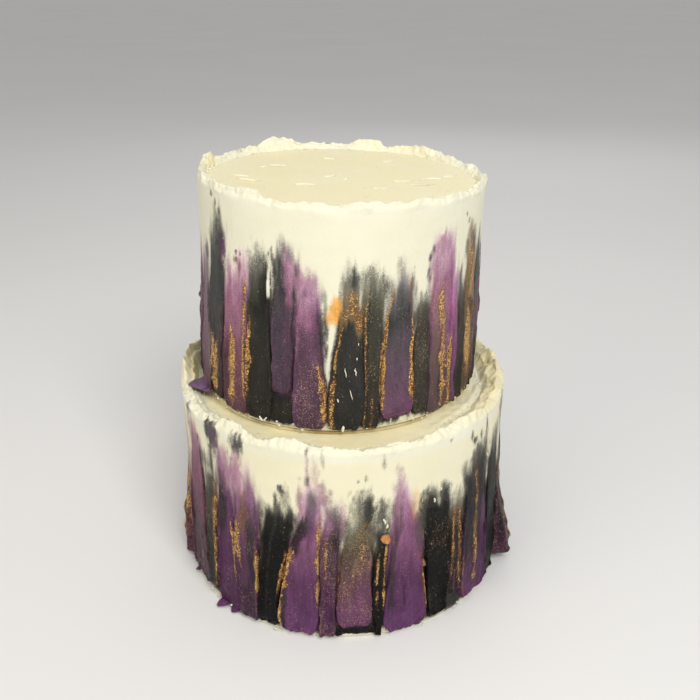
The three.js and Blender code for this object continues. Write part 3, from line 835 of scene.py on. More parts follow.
# %% Touches on the lower round
LOWER["touches"] = [
    (-47.3, 118, 4.6, 10, "slate", 0.95), (-46.5, 114, 3.4, 10, "violet", 0.5),
    (-49.5, 121, 2.6, 6, "slate", 0.8), (-48.8, 98, 1.6, 13, "slate", 0.8),
    (-35.5, 119, 3.8, 6, "dusk", 0.85), (-42, 100, 5, 12, "rose", 0.5),
    (-36.5, 100, 4.5, 13, "rose", 0.6), (-64, 122, 3.5, 3, "slate", 0.6),
    (-53.5, 97, 4.6, 5, "slate", 0.6), (-50.5, 92, 3, 3, "ivory", 0.6),
    (-57.5, 108, 1.4, 3, "slate", 0.8), (-62, 104, 5, 8, "wine", 0.3), (-75, 96, 7, 22, "rose", 0.25),
    (-66, 112, 4, 8, "brown", 0.25), (-21.5, 88, 1.6, 6, "black", 0.7),
    (-19.5, 98.5, 2.0, 3, "black", 0.85), (-18.5, 92, 3.2, 7, "slate", 0.35),
    (-31, 66, 3.5, 13, "olive", 0.6), (-28, 80, 3, 8, "slate", 0.4), (-10.8, 112, 1.0, 10, "rose", 0.4),
    (-8.5, 110, 2.2, 8, "rose", 0.22), (-11, 106, 1.2, 3, "slate", 0.5),
    (-5.8, 119, 1.2, 5, "slate", 0.25), (-10.9, 124, 0.9, 2, "black", 0.5),
    (-13.5, 92, 2, 9, "rose", 0.6), (-6, 97, 3.4, 8, "rose", 0.6), (-3.6, 84, 2.6, 10, "slate", 0.5),
    (1.0, 74, 3.4, 8, "smoke", 0.4), (4.6, 88, 4.5, 10, "smoke", 0.4), (7.9, 93, 3.0, 9, "slate", 0.7),
    (8.4, 84, 2.4, 10, "black", 0.8), (7.2, 108, 0.9, 2, "black", 0.75),
    (4.8, 106.5, 0.8, 1, "slate", 0.5), (13.0, 118, 1.0, 4, "slate", 0.3),
    (12.5, 84, 3.6, 9, "slate", 0.7), (14.3, 86, 1.2, 3, "ivory", 0.5), (17, 84, 2.5, 8, "slate", 0.5),
    (18, 97, 3.2, 12, "rose", 0.45), (23.5, 86, 2.6, 11, "peach", 0.3),
    (25.5, 70, 3.0, 14, "smoke", 0.75), (27.5, 84, 3.5, 9, "black", 0.75),
    (34.5, 88, 4.2, 6, "black", 0.75), (30.5, 87, 2.2, 6, "black", 0.6),
    (40.5, 82, 3.6, 6, "smoke", 0.35), (43.5, 98, 2.2, 5, "slate", 0.3),
    (46.8, 116, 1.2, 3, "black", 0.7), (48.2, 112.5, 1.9, 2, "black", 0.75),
    (52.3, 113, 1.3, 2.6, "black", 0.65), (56, 117, 1.0, 5, "black", 0.7),
    (50, 103, 4.6, 6, "black", 0.6), (56, 103, 2.0, 9, "black", 0.65), (63, 100, 3, 10, "smoke", 0.4),
    (62, 84, 3.4, 9, "black", 0.8), (54, 88, 6, 14, "black", 0.85), (36.8, 120.5, 1.0, 1.2, "slate", 0.4),
    (66, 100, 4, 10, "smoke", 0.4), (64, 127, 2, 2, "slate", 0.5), (72, 112, 6, 12, "smoke", 0.5),
    (41, 6, 6, 7, "black", 0.95), (75.5, 3.5, 9, 4, "black", 0.9),
]
LOWER["bare"] = [
    (1.2, 2.5, 3.2, 4.5, 1.0), (14, 2, 3.4, 5, 1.0), (22, 1, 4.5, 2.4, 0.9), (-28.5, 2, 2.4, 4, 0.9),
    (42, 1.5, 6, 2, 0.9), (-52, 1.5, 7, 2.4, 0.8), (-34, 1, 5, 1.6, 0.6), (60, 98, 2.6, 6, 0.7),
]
print("touches on the lower round's front:", len(LOWER["touches"]))

# %% Touches on the upper round
UPPER["touches"] = [
    (-54, 106, 3.2, 7, "slate", 0.45), (-53.5, 99, 3.6, 6, "slate", 0.6),
    (-49.8, 93, 2.6, 8, "violet", 0.9), (-50, 99, 2.4, 3, "slate", 0.6),
    (-56.5, 120, 1.6, 1.6, "smoke", 0.8), (-53.5, 116.5, 1.3, 2.4, "smoke", 0.75),
    (-51.3, 113, 1.0, 1.6, "smoke", 0.7), (-59, 97, 2.2, 4, "slate", 0.4),
    (-63, 87, 2.4, 4, "smoke", 0.6), (-46, 82, 2.0, 7, "rose", 0.5), (-43, 74, 4, 6, "rose", 0.5),
    (-41.5, 94.5, 0.7, 1.0, "black", 0.85), (-39.3, 94, 0.7, 0.6, "black", 0.8),
    (-41.5, 90, 1.6, 1.6, "brown", 0.8), (-39.8, 86.5, 1.1, 4, "brown", 0.8),
    (-38, 76, 1.0, 9, "brown", 0.5), (-32, 90, 4.4, 9, "slate", 0.45), (-29.4, 88, 3.0, 9, "smoke", 0.35),
    (-27.3, 88, 0.8, 4, "black", 0.8), (-26.3, 97, 0.8, 1.5, "slate", 0.7),
    (-24.9, 96, 0.9, 4, "black", 0.75), (-23.8, 88, 1.0, 7, "slate", 0.9),
    (-22.4, 91, 2.0, 5, "slate", 0.6), (-15.8, 90, 0.9, 3, "slate", 0.8),
    (-18.8, 92, 2.4, 6, "rose", 0.6), (-15, 84, 2.4, 7, "rose", 0.5), (-10.8, 84, 3, 6, "rose", 0.35),
    (-12, 78.5, 2.0, 2.4, "violet", 0.6), (-6.2, 61, 2.2, 8, "slate", 0.8),
    (-4.6, 60, 1.4, 12, "smoke", 0.7), (-4.3, 46, 0.9, 5, "black", 0.7), (-5.2, 78, 1.6, 3, "slate", 0.3),
    (-1.3, 69, 2.8, 5, "peach", 0.95), (-0.2, 74, 2.2, 4, "peach", 0.8), (-3.4, 66, 1.6, 3, "peach", 0.7),
    (5.2, 88, 1.0, 4, "black", 0.9), (5.6, 85, 1.6, 4, "slate", 0.6), (8, 87, 3.0, 5, "slate", 0.3),
    (3.5, 84, 3.0, 5, "smoke", 0.4), (11.8, 90, 3.0, 5, "slate", 0.3), (15.6, 87, 0.8, 5, "smoke", 0.6),
    (22.4, 92, 2.6, 6, "mauve", 0.2), (17.5, 82, 2.6, 6, "smoke", 0.45), (27.5, 84, 1.0, 5, "brown", 0.6),
    (33, 66, 4.5, 8, "smoke", 0.6), (34.6, 95, 1.1, 3, "violet", 0.95),
    (34.4, 88, 1.0, 2.4, "violet", 0.9), (36, 98.5, 1.2, 2.6, "violet", 0.8),
    (34.9, 84, 1.2, 2.4, "violet", 0.8), (34, 85, 0.7, 2, "violet", 0.7),
    (35.4, 81, 1.6, 8, "rose", 0.35), (41, 100, 4.5, 6, "rose", 0.6), (47, 88, 1.6, 8, "rose", 0.35),
    (50.8, 72, 1.6, 16, "rose", 0.3), (53.5, 78, 1.4, 8, "smoke", 0.5),
    (54.2, 113.2, 0.9, 1.2, "smoke", 0.6), (56.5, 109, 1.3, 1.6, "brown", 0.4),
    (59, 104, 2.6, 4, "sand", 0.4), (56.5, 94, 1.4, 8, "smoke", 0.5), (62.5, 97, 3.0, 6, "smoke", 0.6),
    (64, 92, 3.0, 8, "haze", 0.6),
]
UPPER["bare"] = [
    (-26.4, 84, 1.0, 9, 1.0), (-3.2, 46, 1.3, 16, 1.0), (-4, 4, 1.8, 7, 0.9), (26, 2, 7, 3.2, 1.0),
    (31, 4, 2, 4, 0.9), (-12.8, 2.4, 1.3, 1.6, 0.9), (-28.6, 3.5, 1.6, 2.6, 0.6), (-46, 91, 6, 10, 0.75),
    (-9.5, 93, 5, 5, 0.8),
]
print("touches on the upper round's front:", len(UPPER["touches"]))

# %% Touches at the back
STRAY_COUNT = 60
STRAY_LOOKS = ["slate", "black", "rose", "violet", "smoke", "slate", "black", "sand"]
CLEAR_OF_FRONT = 4


def stray(tier):
    """Touches for the unseen side, drawn by rule."""
    random = np.random.default_rng(tier["back_seed"] + 5)
    start = tier["front_end"] + CLEAR_OF_FRONT
    end = tier["front"][0]["seam"] + 360 - CLEAR_OF_FRONT
    return [
        (random.uniform(start, end), 84 + 34 * random.random() ** 1.6, 0.8 + 3.6 * random.random() ** 2,
         random.uniform(1.5, 11), STRAY_LOOKS[random.integers(len(STRAY_LOOKS))], random.uniform(0.3, 0.9))
        for _ in range(STRAY_COUNT)
    ]


for tier in (LOWER, UPPER):
    tier["touches"] = tier["touches"] + stray(tier)
    print(tier["name"], "touches:", len(tier["touches"]))

# %% [markdown]
# ## Paint of a whole wall
# First comes the dark smudge between strokes, deepest low down: partly dark cream that the knife
# leaves there and partly painted shade in the gaps between strokes. Then come the strokes themselves,
# then the bare streaks and the stray touches. A touch has an eaten edge rather than a round one.

# %% Smudges with painted shade, and touches
TRACE_OF_DUST = 0.05
SEAM_MARGIN = math.radians(4)


def near_stroke(tier, i, turn, height):
    """Seams left and right of stroke i, and the points close enough to take its paint."""
    left, right = seam_at(tier, i, height), seam_at(tier, i + 1, height)
    return left, right, (turn > left - SEAM_MARGIN) & (turn < right + SEAM_MARGIN)


def lay_smudge_and_shade(sheet, tier, i, turn, height):
    """Lays the dark film under stroke i, deepest low down: dark cream with painted shade between strokes."""
    it, radius = tier["strokes"][i], tier["radius"]
    left, right, where = near_stroke(tier, i, turn, height)
    if not where.any():
        return
    z = height[where]
    uneven = relief(i + 40, (turn * radius)[where], z, 3, 16)
    smudge_and_shade = (1 - ease(0.5 * it["top"], 0.8 * it["top"], z + 7 * uneven)) * ease(1, 4, z + uneven)
    left_gap, right_gap = gaps_at(it, height)
    inside = np.minimum((turn - left) * radius - left_gap, (right - turn) * radius - right_gap)[where]
    tint = blend(cream_colour(it["look"], np.full(z.shape, 0.6)), SMUDGE_AND_SHADE_DARK, 0.65)
    sheet.lay(0.97 * smudge_and_shade * ease(-2, 2, inside + uneven), tint, 0.0, TRACE_OF_DUST, where)


def near_spot(tier, turn, height, degrees, middle, wide, tall):
    """Distance from a spot, 1 at its rim, with an eaten edge, and the points that it reaches."""
    away = turned_from(turn, degrees) * tier["radius"]
    where = (np.abs(away) < 2 * wide) & (np.abs(height - middle) < 2 * tall)
    arc, z = away[where], height[where]
    coarse = 0.45 * relief(int(abs(degrees) * 31 + middle), arc + 50, z, 1.5, 4)
    fine = 0.25 * relief(9, arc + 90, z, 0.8, 1.6)
    return np.hypot(arc / wide, (z - middle) / tall) + (coarse + fine), where


def lay_touches(sheet, tier, turn, height):
    for degrees, middle, wide, tall, look, strength in tier["touches"]:
        distance, where = near_spot(tier, turn, height, degrees, middle, wide, tall)
        if where.any():
            more = 0.9 * strength * (1 - ease(0.2, 1.6, distance))
            sheet.lay(more, cream_colour(look, np.full(more.shape, LADDER[2])), 0.0, TRACE_OF_DUST, where)


print("a smear thins at its rim:", (1 - ease(0.2, 1.6, np.array([0.0, 0.5, 1.0, 1.5]))).round(2))

# %% Paint of a wall


def paint_wall(tier, turn, height):
    """The sheet of paint of a tier's wall."""
    first = math.radians(tier["front"][0]["seam"])
    turn = first + np.mod(turn - first, math.tau)
    sheet = Sheet(turn.shape)
    for i in range(len(tier["strokes"])):
        lay_smudge_and_shade(sheet, tier, i, turn, height)
    for i, it in enumerate(tier["strokes"]):
        where = near_stroke(tier, i, turn, height)[2]
        if where.any():
            lay_stroke_paint(sheet, tier, i, turn[where], height[where], it, where)
    for degrees, middle, wide, tall, strength in tier["bare"]:
        distance, where = near_spot(tier, turn, height, degrees, middle, wide, tall)
        sheet.amount[where] *= 1 - strength * (1 - ease(0.6, 1.3, distance))
    lay_touches(sheet, tier, turn, height)
    return sheet


trial = paint_wall(UPPER, np.radians(np.array([[20.0]])), np.array([[40.0]]))
print("paint on the upper wall at 20 degrees, 40 mm:", trial.amount.round(2), trial.colour.round(2))

# %% [markdown]
# ## Meshes from grids
# Wall, rim and stroke are all grids of points, so one helper turns arrays of points, faces and
# per-point values into a piece that rides on the cake's body and stands for its solid. No point may
# leave the box of the solids, so a stray one is pulled back to it.

# %% Piece from arrays
BOX_LOW, BOX_HIGH = (np.array(corner) for corner in cad_box)


def keep_values(mesh, values):
    """Stores the paint at each point, as numbers or as colours."""
    for key, value in values.items():
        if value.ndim == 2:
            rgba = np.concatenate([value, np.ones((len(value), 1))], axis=1)
            data = mesh.attributes.new(key, "FLOAT_COLOR", "POINT").data
            data.foreach_set("color", rgba.astype(np.float32).ravel())
        else:
            data = mesh.attributes.new(key, "FLOAT", "POINT").data
            data.foreach_set("value", value.astype(np.float32))


def make_piece(name, points, faces, finish, slot, replaces=None, values=None):
    mesh = bpy.data.meshes.new(name)
    mesh.from_pydata(np.clip(points, BOX_LOW, BOX_HIGH).tolist(), [], faces)
    mesh.polygons.foreach_set("use_smooth", np.ones(len(mesh.polygons), bool))
    keep_values(mesh, values or {})
    mesh.materials.append(finish.material)
    piece = bpy.data.objects.new(name, mesh)
    scene.collection.objects.link(piece)
    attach(piece, "root")
    if replaces:
        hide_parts(replaces)
    return piece


def ring_faces(rows, columns):
    """Quads between rows of points that close round a tier, with a fan at each end."""
    faces = []
    for j in range(rows - 1):
        here, above = j * columns, (j + 1) * columns
        for i in range(columns):
            k = (i + 1) % columns
            faces.append((here + i, here + k, above + k, above + i))
    low, high, last = rows * columns, rows * columns + 1, (rows - 1) * columns
    for i in range(columns):
        k = (i + 1) % columns
        faces.append((low, k, i))
        faces.append((high, last + i, last + k))
    return faces


print("points are kept between", BOX_LOW.round(4), "and", BOX_HIGH.round(4))

# %% [markdown]
# ## Finish of the creams
# Ivory and tinted creams share one recipe. Streaky noise, stretched along the pull, decides where
# pigment covers ivory, which gives dry-brushed tops and watery edges. Metal powder sits in two ways:
# as brushed lines, from the gold value, which are grainy and go from brown to bright, their bright
# flakes partly painted glints, and as fine sparkles, from the dust value. A little light goes into
# buttercream, so it has some subsurface. The sizes of the noises are in metres.

# %% Textures of the creams
STREAK, PEBBLE, GRAIN, CLOUD, FLAKE, WARMTH = 0.0013, 0.0012, 0.0006, 0.006, 0.0005, 0.03
ALONG_THE_PULL, A_LITTLE_ALONG = (1, 1, 0.06), (1, 1, 0.4)
COOL_IVORY, WARM_IVORY, YELLOW_AND_BOUNCE_COLOUR = "e9e7cf", "eeecd8", "f0de9c"
OCHRE, LEAF_BROWN, LEAF_GOLD_AND_GLINT = "724628", "784018", "ffd284"
SHADE, LIGHT = (0.6, 0.6, 0.62, 1), (1.4, 1.36, 1.4, 1)
SUBSURFACE_REACH = (0.004, 0.0025, 0.0015)


def cream_textures(finish):
    """The unevenness that every cream has."""
    here = finish.place()
    return SimpleNamespace(
        here=here,
        streaks=finish.noise(finish.stretch(here, ALONG_THE_PULL), STREAK, 3, 0.6),
        pebbles=finish.noise(here, PEBBLE, 2, 0.55),
        grain=finish.noise(here, GRAIN, 2, 0.7),
        clouds=finish.noise(finish.stretch(here, A_LITTLE_ALONG), CLOUD, 3, 0.6),
        warmth=finish.noise(here, WARMTH, 2),
    )


def paint_colour(finish, n, cover):
    """Ivory where paint is thin, and pigment in lighter and darker streaks where it covers."""
    plain = finish.mix((n.warmth * 2 + 0.5).clip(), opaque(COOL_IVORY), opaque(WARM_IVORY))
    # The yellow mixed into ivory here is partly the cream's own and partly painted warm bounce light and
    # shade.
    plain = finish.mix(finish.attribute("fold"), plain, opaque(YELLOW_AND_BOUNCE_COLOUR))
    lights = (n.streaks * 1.1 + n.clouds * 1.5 + n.grain * 1.4 + n.pebbles * 0.5 + 0.5).clip()
    lights = finish.mix(lights, SHADE, LIGHT)
    tinted = finish.mix(0.85, finish.attribute("pigment", "Color"), lights, "MULTIPLY")
    ochre = (finish.attribute("gold") * 1.8 + n.streaks + n.grain - 0.3).clip()
    tinted = finish.mix(ochre * 0.85, tinted, opaque(OCHRE))
    return finish.mix(cover, plain, tinted)


print("finest texture, mm:", 1000 * FLAKE)

# %% Cream finish


def metal_and_colour(finish, n, cover, metal_colour):
    """Where metal lies, as sparkles or brushed lines, and its colour."""
    flake = finish.node("ShaderNodeTexVoronoi", {}, {"Vector": n.here, "Scale": 1 / FLAKE}, out="Distance")
    chance = finish.node("ShaderNodeTexWhiteNoise", {}, {"Vector": flake.beside("Position")}, out="Value")
    dust = finish.attribute("dust") * (n.clouds * 3.2 + 1.0)
    dot = 1 - flake.step(0.35, 0.6)
    sparkle = (chance + dust * 0.6 - 1).step(0, 0.1) * dot * 0.75
    brushed = finish.attribute("gold") * 1.35 + n.streaks * 0.6 + n.grain * 2.4 + n.pebbles * 2.6
    foil = (brushed + n.clouds * 0.6 - 0.85).step(0, 0.4)
    # Flakes go from brown to bright at random, and the bright ones are partly painted glints.
    leaf_and_glints = (chance * 1.5 + n.grain * 4.5 + n.pebbles * 3 - 0.28).clip()
    leaf_and_glints = finish.mix(leaf_and_glints, opaque(LEAF_BROWN), opaque(LEAF_GOLD_AND_GLINT))
    return (sparkle + foil).clip() * cover, finish.mix(foil, opaque(metal_colour), leaf_and_glints)


def cream_finish(name, metal_colour, roughness=0.5, shine=0.35):
    finish = Finish(name)
    n = cream_textures(finish)
    amount = finish.attribute("amount")
    thin = amount * (1 - amount) * 4
    cover = (amount + thin * (n.streaks * 0.4 + n.grain * 1.3 + n.clouds * 0.8)).clip()
    cover = 1 - (1 - cover) * (1 - cover)
    metal, bright = metal_and_colour(finish, n, cover, metal_colour)
    finish.set(
        Base_Color=finish.mix(metal, paint_colour(finish, n, cover), bright),
        Metallic=metal * 0.45,
        Roughness=roughness - metal * 0.12 + n.grain * 0.2,
    )
    finish.set(Subsurface_Weight=0.06, Subsurface_Radius=SUBSURFACE_REACH, Subsurface_Scale=0.5)
    finish.set(Specular_IOR_Level=shine)
    drag = n.streaks * cover * 0.4 + n.grain * (cover * 0.7 + 0.1 + metal * 0.7)
    drag = drag + n.pebbles * (cover * 0.8 + 0.1) + n.clouds * (thin * 0.6 + 0.35)
    finish.set(Normal=finish.bump(drag, 0.0012, 0.75))
    return finish


wall_finish = cream_finish("ivory_cream", "c98f4a")
print("nodes in the cream finish:", len(wall_finish.tree.nodes))

# %% [markdown]
# ## The rim
# On the real cake the rim is what the scraper pushed up past the top edge, torn into thin curls.
# The helpers here say how high its crest stands, how far it reaches in, and where frosting lies
# heaped inside it, all as in the solids. The lower rim stops short of the upper round.

# %% Lines of a rim
CREST_SPOTS = [0, 0.3, 0.62, 1]
CREST_SHARES = [0.45, 1, 0.62, 0]
CREST_BUMPS, INNER_BUMPS, OUTER_BUMPS = 38, 26, 44
SOLID_STROKE = 3.1 * 1.12
CLEARANCE = 1
UPPER_REACH = UPPER["radius"] + WALL_UNEVENNESS + GAP + SOLID_STROKE + CLEARANCE
RIGHT_HEAP = {"middle": 80, "height": 7, "fades": (15, 62)}
LEFT_HEAP = {"middle": -98, "height": 5.6, "fades": (8, 34)}


def off_front(turn, degrees):
    """How far a turn is from an angle, in degrees."""
    return np.abs(np.mod(np.degrees(turn) - degrees + 180, 360) - 180)


def lump_height(tier, turn):
    total = np.zeros_like(turn)
    for degrees, height, reach in tier["lumps"]:
        share = np.maximum(0, 1 - np.abs(turned_from(turn, degrees)) / math.radians(reach))
        total += height * share * share * (3 - 2 * share)
    return total


def heaped(turn):
    """How much wider the lower rim is where frosting lies heaped, in mm."""
    return np.maximum(*(
        heap["height"] * (1 - ease(*heap["fades"], off_front(turn, heap["middle"])))
        for heap in (RIGHT_HEAP, LEFT_HEAP)
    ))


def heap_share(tier, turn):
    """How heaped the rim's frosting is, 0 to 1."""
    return heaped(turn) / RIGHT_HEAP["height"] * (tier is LOWER)


def room_for_upper(turn):
    """How far the upper round and its strokes reach, seen from the lower round's axis."""
    right, back = UPPER["shift"]
    towards = right * np.sin(turn) - back * np.cos(turn)
    return towards + np.sqrt(UPPER_REACH ** 2 - (right ** 2 + back ** 2 - towards ** 2))


def rim_lines(tier, turn):
    """Crest height over the flat, and the rim's outer and inner radius."""
    rim = tier["rim"]
    crest = rim["height"] * (1 + rim["raggedness"] * uneven_ring(rim["seed"], CREST_BUMPS)(turn))
    inner = tier["radius"] - rim["width"] * (1 + 0.3 * uneven_ring(rim["seed"] + 1, INNER_BUMPS)(turn))
    if tier is LOWER:
        inner = np.maximum(inner - heaped(turn), room_for_upper(turn))
    uneven = 0.25 * rim["height"] * rim["raggedness"] * uneven_ring(rim["seed"] + 2, OUTER_BUMPS)(turn)
    return crest + lump_height(tier, turn), wall(tier, turn, tier["height"]) + uneven, inner


print("the lower rim's frosting is heaped by, mm:", heaped(np.radians([0.0, 80.0, 180.0, 262.0])).round(1))

# %% [markdown]
# ## The frosted rounds
# A round is one skin, made row by row: flat base, scraped wall, ragged rim, flat top. Each row gives
# every column a radius, a height and a "fold", which is how yellow the cream is there:
# partly the cream's own colour and partly painted warm bounce light and shade in heaps, hollows and on
# the lower top. The wall gets only the faint unevenness of a scraper.

# %% Rows of the wall
WALL_TOP = 5
RING_SEEDS = 100


def around(tier, turn):
    """Length along the wall, the length after which it closes, and the round's first relief seed."""
    return turn * tier["radius"], tier["radius"] * math.tau, tier["rim"]["seed"] * RING_SEEDS


def wall_rows(tier, turn):
    """Rows from the base's edge up the wall and into the foot of the rim."""
    arc, ring, seed = around(tier, turn)
    still, base = np.zeros_like(turn), wall(tier, turn, 0.0)
    shoulder = tier["height"] - WALL_TOP
    rows = [(base - 1.6, still, still), (base - 0.5, still + 0.35, still)]
    for z in [*np.linspace(1.6, 55, 20), *np.linspace(56.4, shoulder, 46)]:
        broad = 0.12 * relief(seed, arc, still + z, 22, 5, ring)
        narrow = 0.06 * relief(seed + 1, arc, still + z, 5, 9, ring)
        rows.append((wall(tier, turn, z) + (broad + narrow), still + z, still + tier["yellow"]))
    crest, outer, _ = rim_lines(tier, turn)
    for share in (0.25, 0.5, 0.75):
        rise = blend(shoulder, tier["height"] + CREST_SHARES[0] * crest, share)
        rows.append((blend(wall(tier, turn, float(shoulder)), outer, share), rise, still))
    return rows


print("rows up the lower wall:", len(wall_rows(LOWER, np.zeros(3))))

# %% [markdown]
# ## Torn cream
# The rim's tears are relief with sharp crests: soft noise folded at zero. Curls stand across the
# rim, swept ropes run along it where frosting is heaped, and small shreds stick up between. Each
# noise has a cell size along the rim and one over it, so its grain follows the scraper.

# %% Rows of the rim
RIM_ROWS = 22
HIGHEST_ROUGH = 4.5
TEARS = {
    "lower": {"cell": 3.2, "wavy": 0.14, "shreds": 0.9},
    "upper": {"cell": 5, "wavy": 0.24, "shreds": 0.35},
}


def ridges(noise, sharp=2.2):
    """Sharp crests where soft relief goes through zero."""
    return 1 - sharp * np.abs(noise)


def crest_share(t):
    """How high the solid's rim stands at a share of the way over it, as part of its crest."""
    k = min(int(np.searchsorted(CREST_SPOTS, t, "right")) - 1, len(CREST_SPOTS) - 2)
    return blend(CREST_SHARES[k], CREST_SHARES[k + 1], ease(CREST_SPOTS[k], CREST_SPOTS[k + 1], t))


def torn_lift(tier, turn, across, rough, heap):
    """How far the torn cream stands up in mm, where shreds are, and the finest unevenness."""
    arc, ring, seed = around(tier, turn)
    tears = TEARS[tier["name"]]
    coarse = relief(seed + 2, arc, across, 9, 3.4, ring)
    torn = ridges(relief(seed + 3, arc + 2.5 * coarse + across, across, tears["cell"], 2.2, ring))
    swept = ridges(relief(seed + 14, arc + 3 * coarse, across, 16, 4.5, ring))
    torn = blend(torn, swept, 0.85 * heap)
    fine = relief(seed + 4, arc, across, 1.7, 1.3, ring)
    rope = ridges(relief(seed + 12, arc, across + 0.06 * arc, 26, 4.2, ring), 2.4)
    shred = ease(0.3, 0.8, relief(seed + 15, arc, across, 2.4, 1.4, ring))
    lift = tears["wavy"] * rough * coarse + 0.22 * rough * torn + 0.45 * fine * (1 - 0.4 * heap)
    return lift + 0.7 * heap * np.maximum(rope, 0), shred, fine


def rim_rows(tier, turn):
    """Rows over the ragged rim, from outside to inside."""
    arc, ring, seed = around(tier, turn)
    crest, outer, inner = rim_lines(tier, turn)
    heap = heap_share(tier, turn)
    butter = 0
    for degrees, reach, strength in tier["butter"]:
        butter = butter + strength * (1 - ease(0, reach, off_front(turn, degrees)))
    rows = []
    for t in np.linspace(0, 1, RIM_ROWS):
        across = t * (outer - inner)
        window = math.sin(math.pi * (0.08 + 0.92 * t)) ** 0.6 if t < 1 else 0
        lift, shred, fine = torn_lift(tier, turn, across, np.minimum(crest, HIGHEST_ROUGH), heap)
        lift = window * lift + window * TEARS[tier["name"]]["shreds"] * shred
        slide = 1.5 * relief(seed + 5, arc, across, 8, 3, ring)
        slide = slide + 0.9 * relief(seed + 13, arc, across, 2.8, 2, ring)
        slide = window * (slide + 0.55 * fine)
        patch = ease(0.2, 1, relief(seed + 8, arc, across, 9, 3.5, ring))
        fold = window * (0.1 + 0.25 * patch + butter * (0.35 + 0.65 * patch)) * (0.3 + 0.5 * t)
        # Heaped frosting is made yellower still: painted warm light bounced between its folds.
        fold = fold + 0.4 * window * heap
        rows.append((blend(outer, inner, t) + slide, tier["height"] + crest_share(t) * crest + lift, fold))
    return rows


print("rows over a rim:", len(rim_rows(UPPER, np.zeros(3))))

# %% [markdown]
# ## The flat tops
# A top is scraped flat but not quite even. Near the rim some cream is pushed inwards in low ridges,
# more where frosting is heaped, and the top is yellower than the wall: partly yellower cream and partly
# painted warm bounce light and shade, most on the lower top under the upper round and in the hollows
# between the ridges.

# %% Rows of the top
TOP_ROWS = 44
# The lower top's larger yellow share is partly painted warm bounce light and shade under the upper round.
TOP_YELLOW_AND_BOUNCE = {"lower": 0.52, "upper": 0.45}
PUSHED_REACH = 26
CLEAR_OF_ZERO = 500


def top_rows(tier, turn):
    """Rows from the rim's inner edge to the middle of the flat top."""
    arc, ring, seed = around(tier, turn)
    inner = rim_lines(tier, turn)[2]
    folded = 0.25 + heap_share(tier, turn)
    rows = []
    for share in 1 - np.linspace(0, 1, TOP_ROWS)[1:-1] ** 1.5:
        r = inner * share
        x, y = r * np.sin(turn) + CLEAR_OF_ZERO, -r * np.cos(turn) + CLEAR_OF_ZERO
        wave = 0.16 * relief(seed + 6, x, y, 24, 15) + 0.07 * relief(seed + 7, x, y, 9, 30)
        near = 1 - ease(0, PUSHED_REACH, inner - r)
        ridge = ridges(relief(seed + 9, arc + 0.8 * r, r, 30, 5, ring), 2.4)
        push = near * folded * (np.maximum(ridge, 0) + 0.5 * relief(seed + 10, arc, r, 5, 2.6, ring))
        settle = ease(0, 0.03, 1 - share)
        # Ridge crests are paler and the hollows between them yellower: painted shade and warm bounce in the
        # hollows.
        paler = 0.6 * near * np.minimum(1.1 * folded, 1) * ease(-0.9, 0.1, ridge)
        fold = TOP_YELLOW_AND_BOUNCE[tier["name"]] * (1 - paler) + 0.06 * relief(seed + 11, x, y, 16, 16)
        rows.append((r, tier["height"] + wave * settle + push * settle, fold))
    return rows


print("rows on a flat top:", len(top_rows(UPPER, np.zeros(3))))

# %% Rounds


def make_round(tier, node):
    turn = np.linspace(0, math.tau, tier["columns"], endpoint=False)
    rows = wall_rows(tier, turn) + rim_rows(tier, turn) + top_rows(tier, turn)
    radius, height, fold = (np.array([row[k] for row in rows]) for k in range(3))
    turns = np.broadcast_to(turn, radius.shape)
    points = place(tier, turns, radius, height).reshape(-1, 3)
    middle = place(tier, np.zeros(2), np.zeros(2), np.array([0.0, tier["height"]]))
    on_wall = ease(tier["radius"] - 3, tier["radius"] - 1.5, radius) * (height < tier["height"] + 4)
    values = paint_wall(tier, turns, height).values(on_wall, 2)
    values["fold"] = np.concatenate([fold.ravel(), [0, 0]])
    points = np.concatenate([points, middle])
    faces = ring_faces(len(rows), tier["columns"])
    name = tier["name"] + "_frosting"
    return make_piece(name, points, faces, wall_finish, "ivory_buttercream", node, values)


for tier in (LOWER, UPPER):
    round_piece = make_round(tier, tier["name"] + "_tier")
    print(round_piece.name, "has", len(round_piece.data.polygons), "faces")

# %% [markdown]
# ## The strokes as cream
# Each pull is a closed skin: a fine front, and a plain back that sinks a little into the wall. The
# front has raised lips at its sides, long drag lines, a rolled and torn foot and a top that breaks
# into fingers. Towards the top its edges dive under the wall's skin, so cream and wall run together
# there, as they do where a knife runs dry.

# %% Outline of a pull
STEP_ACROSS = 0.7
STEP_UP = 1.1
FEWEST_COLUMNS, FEWEST_ROWS = 10, 8


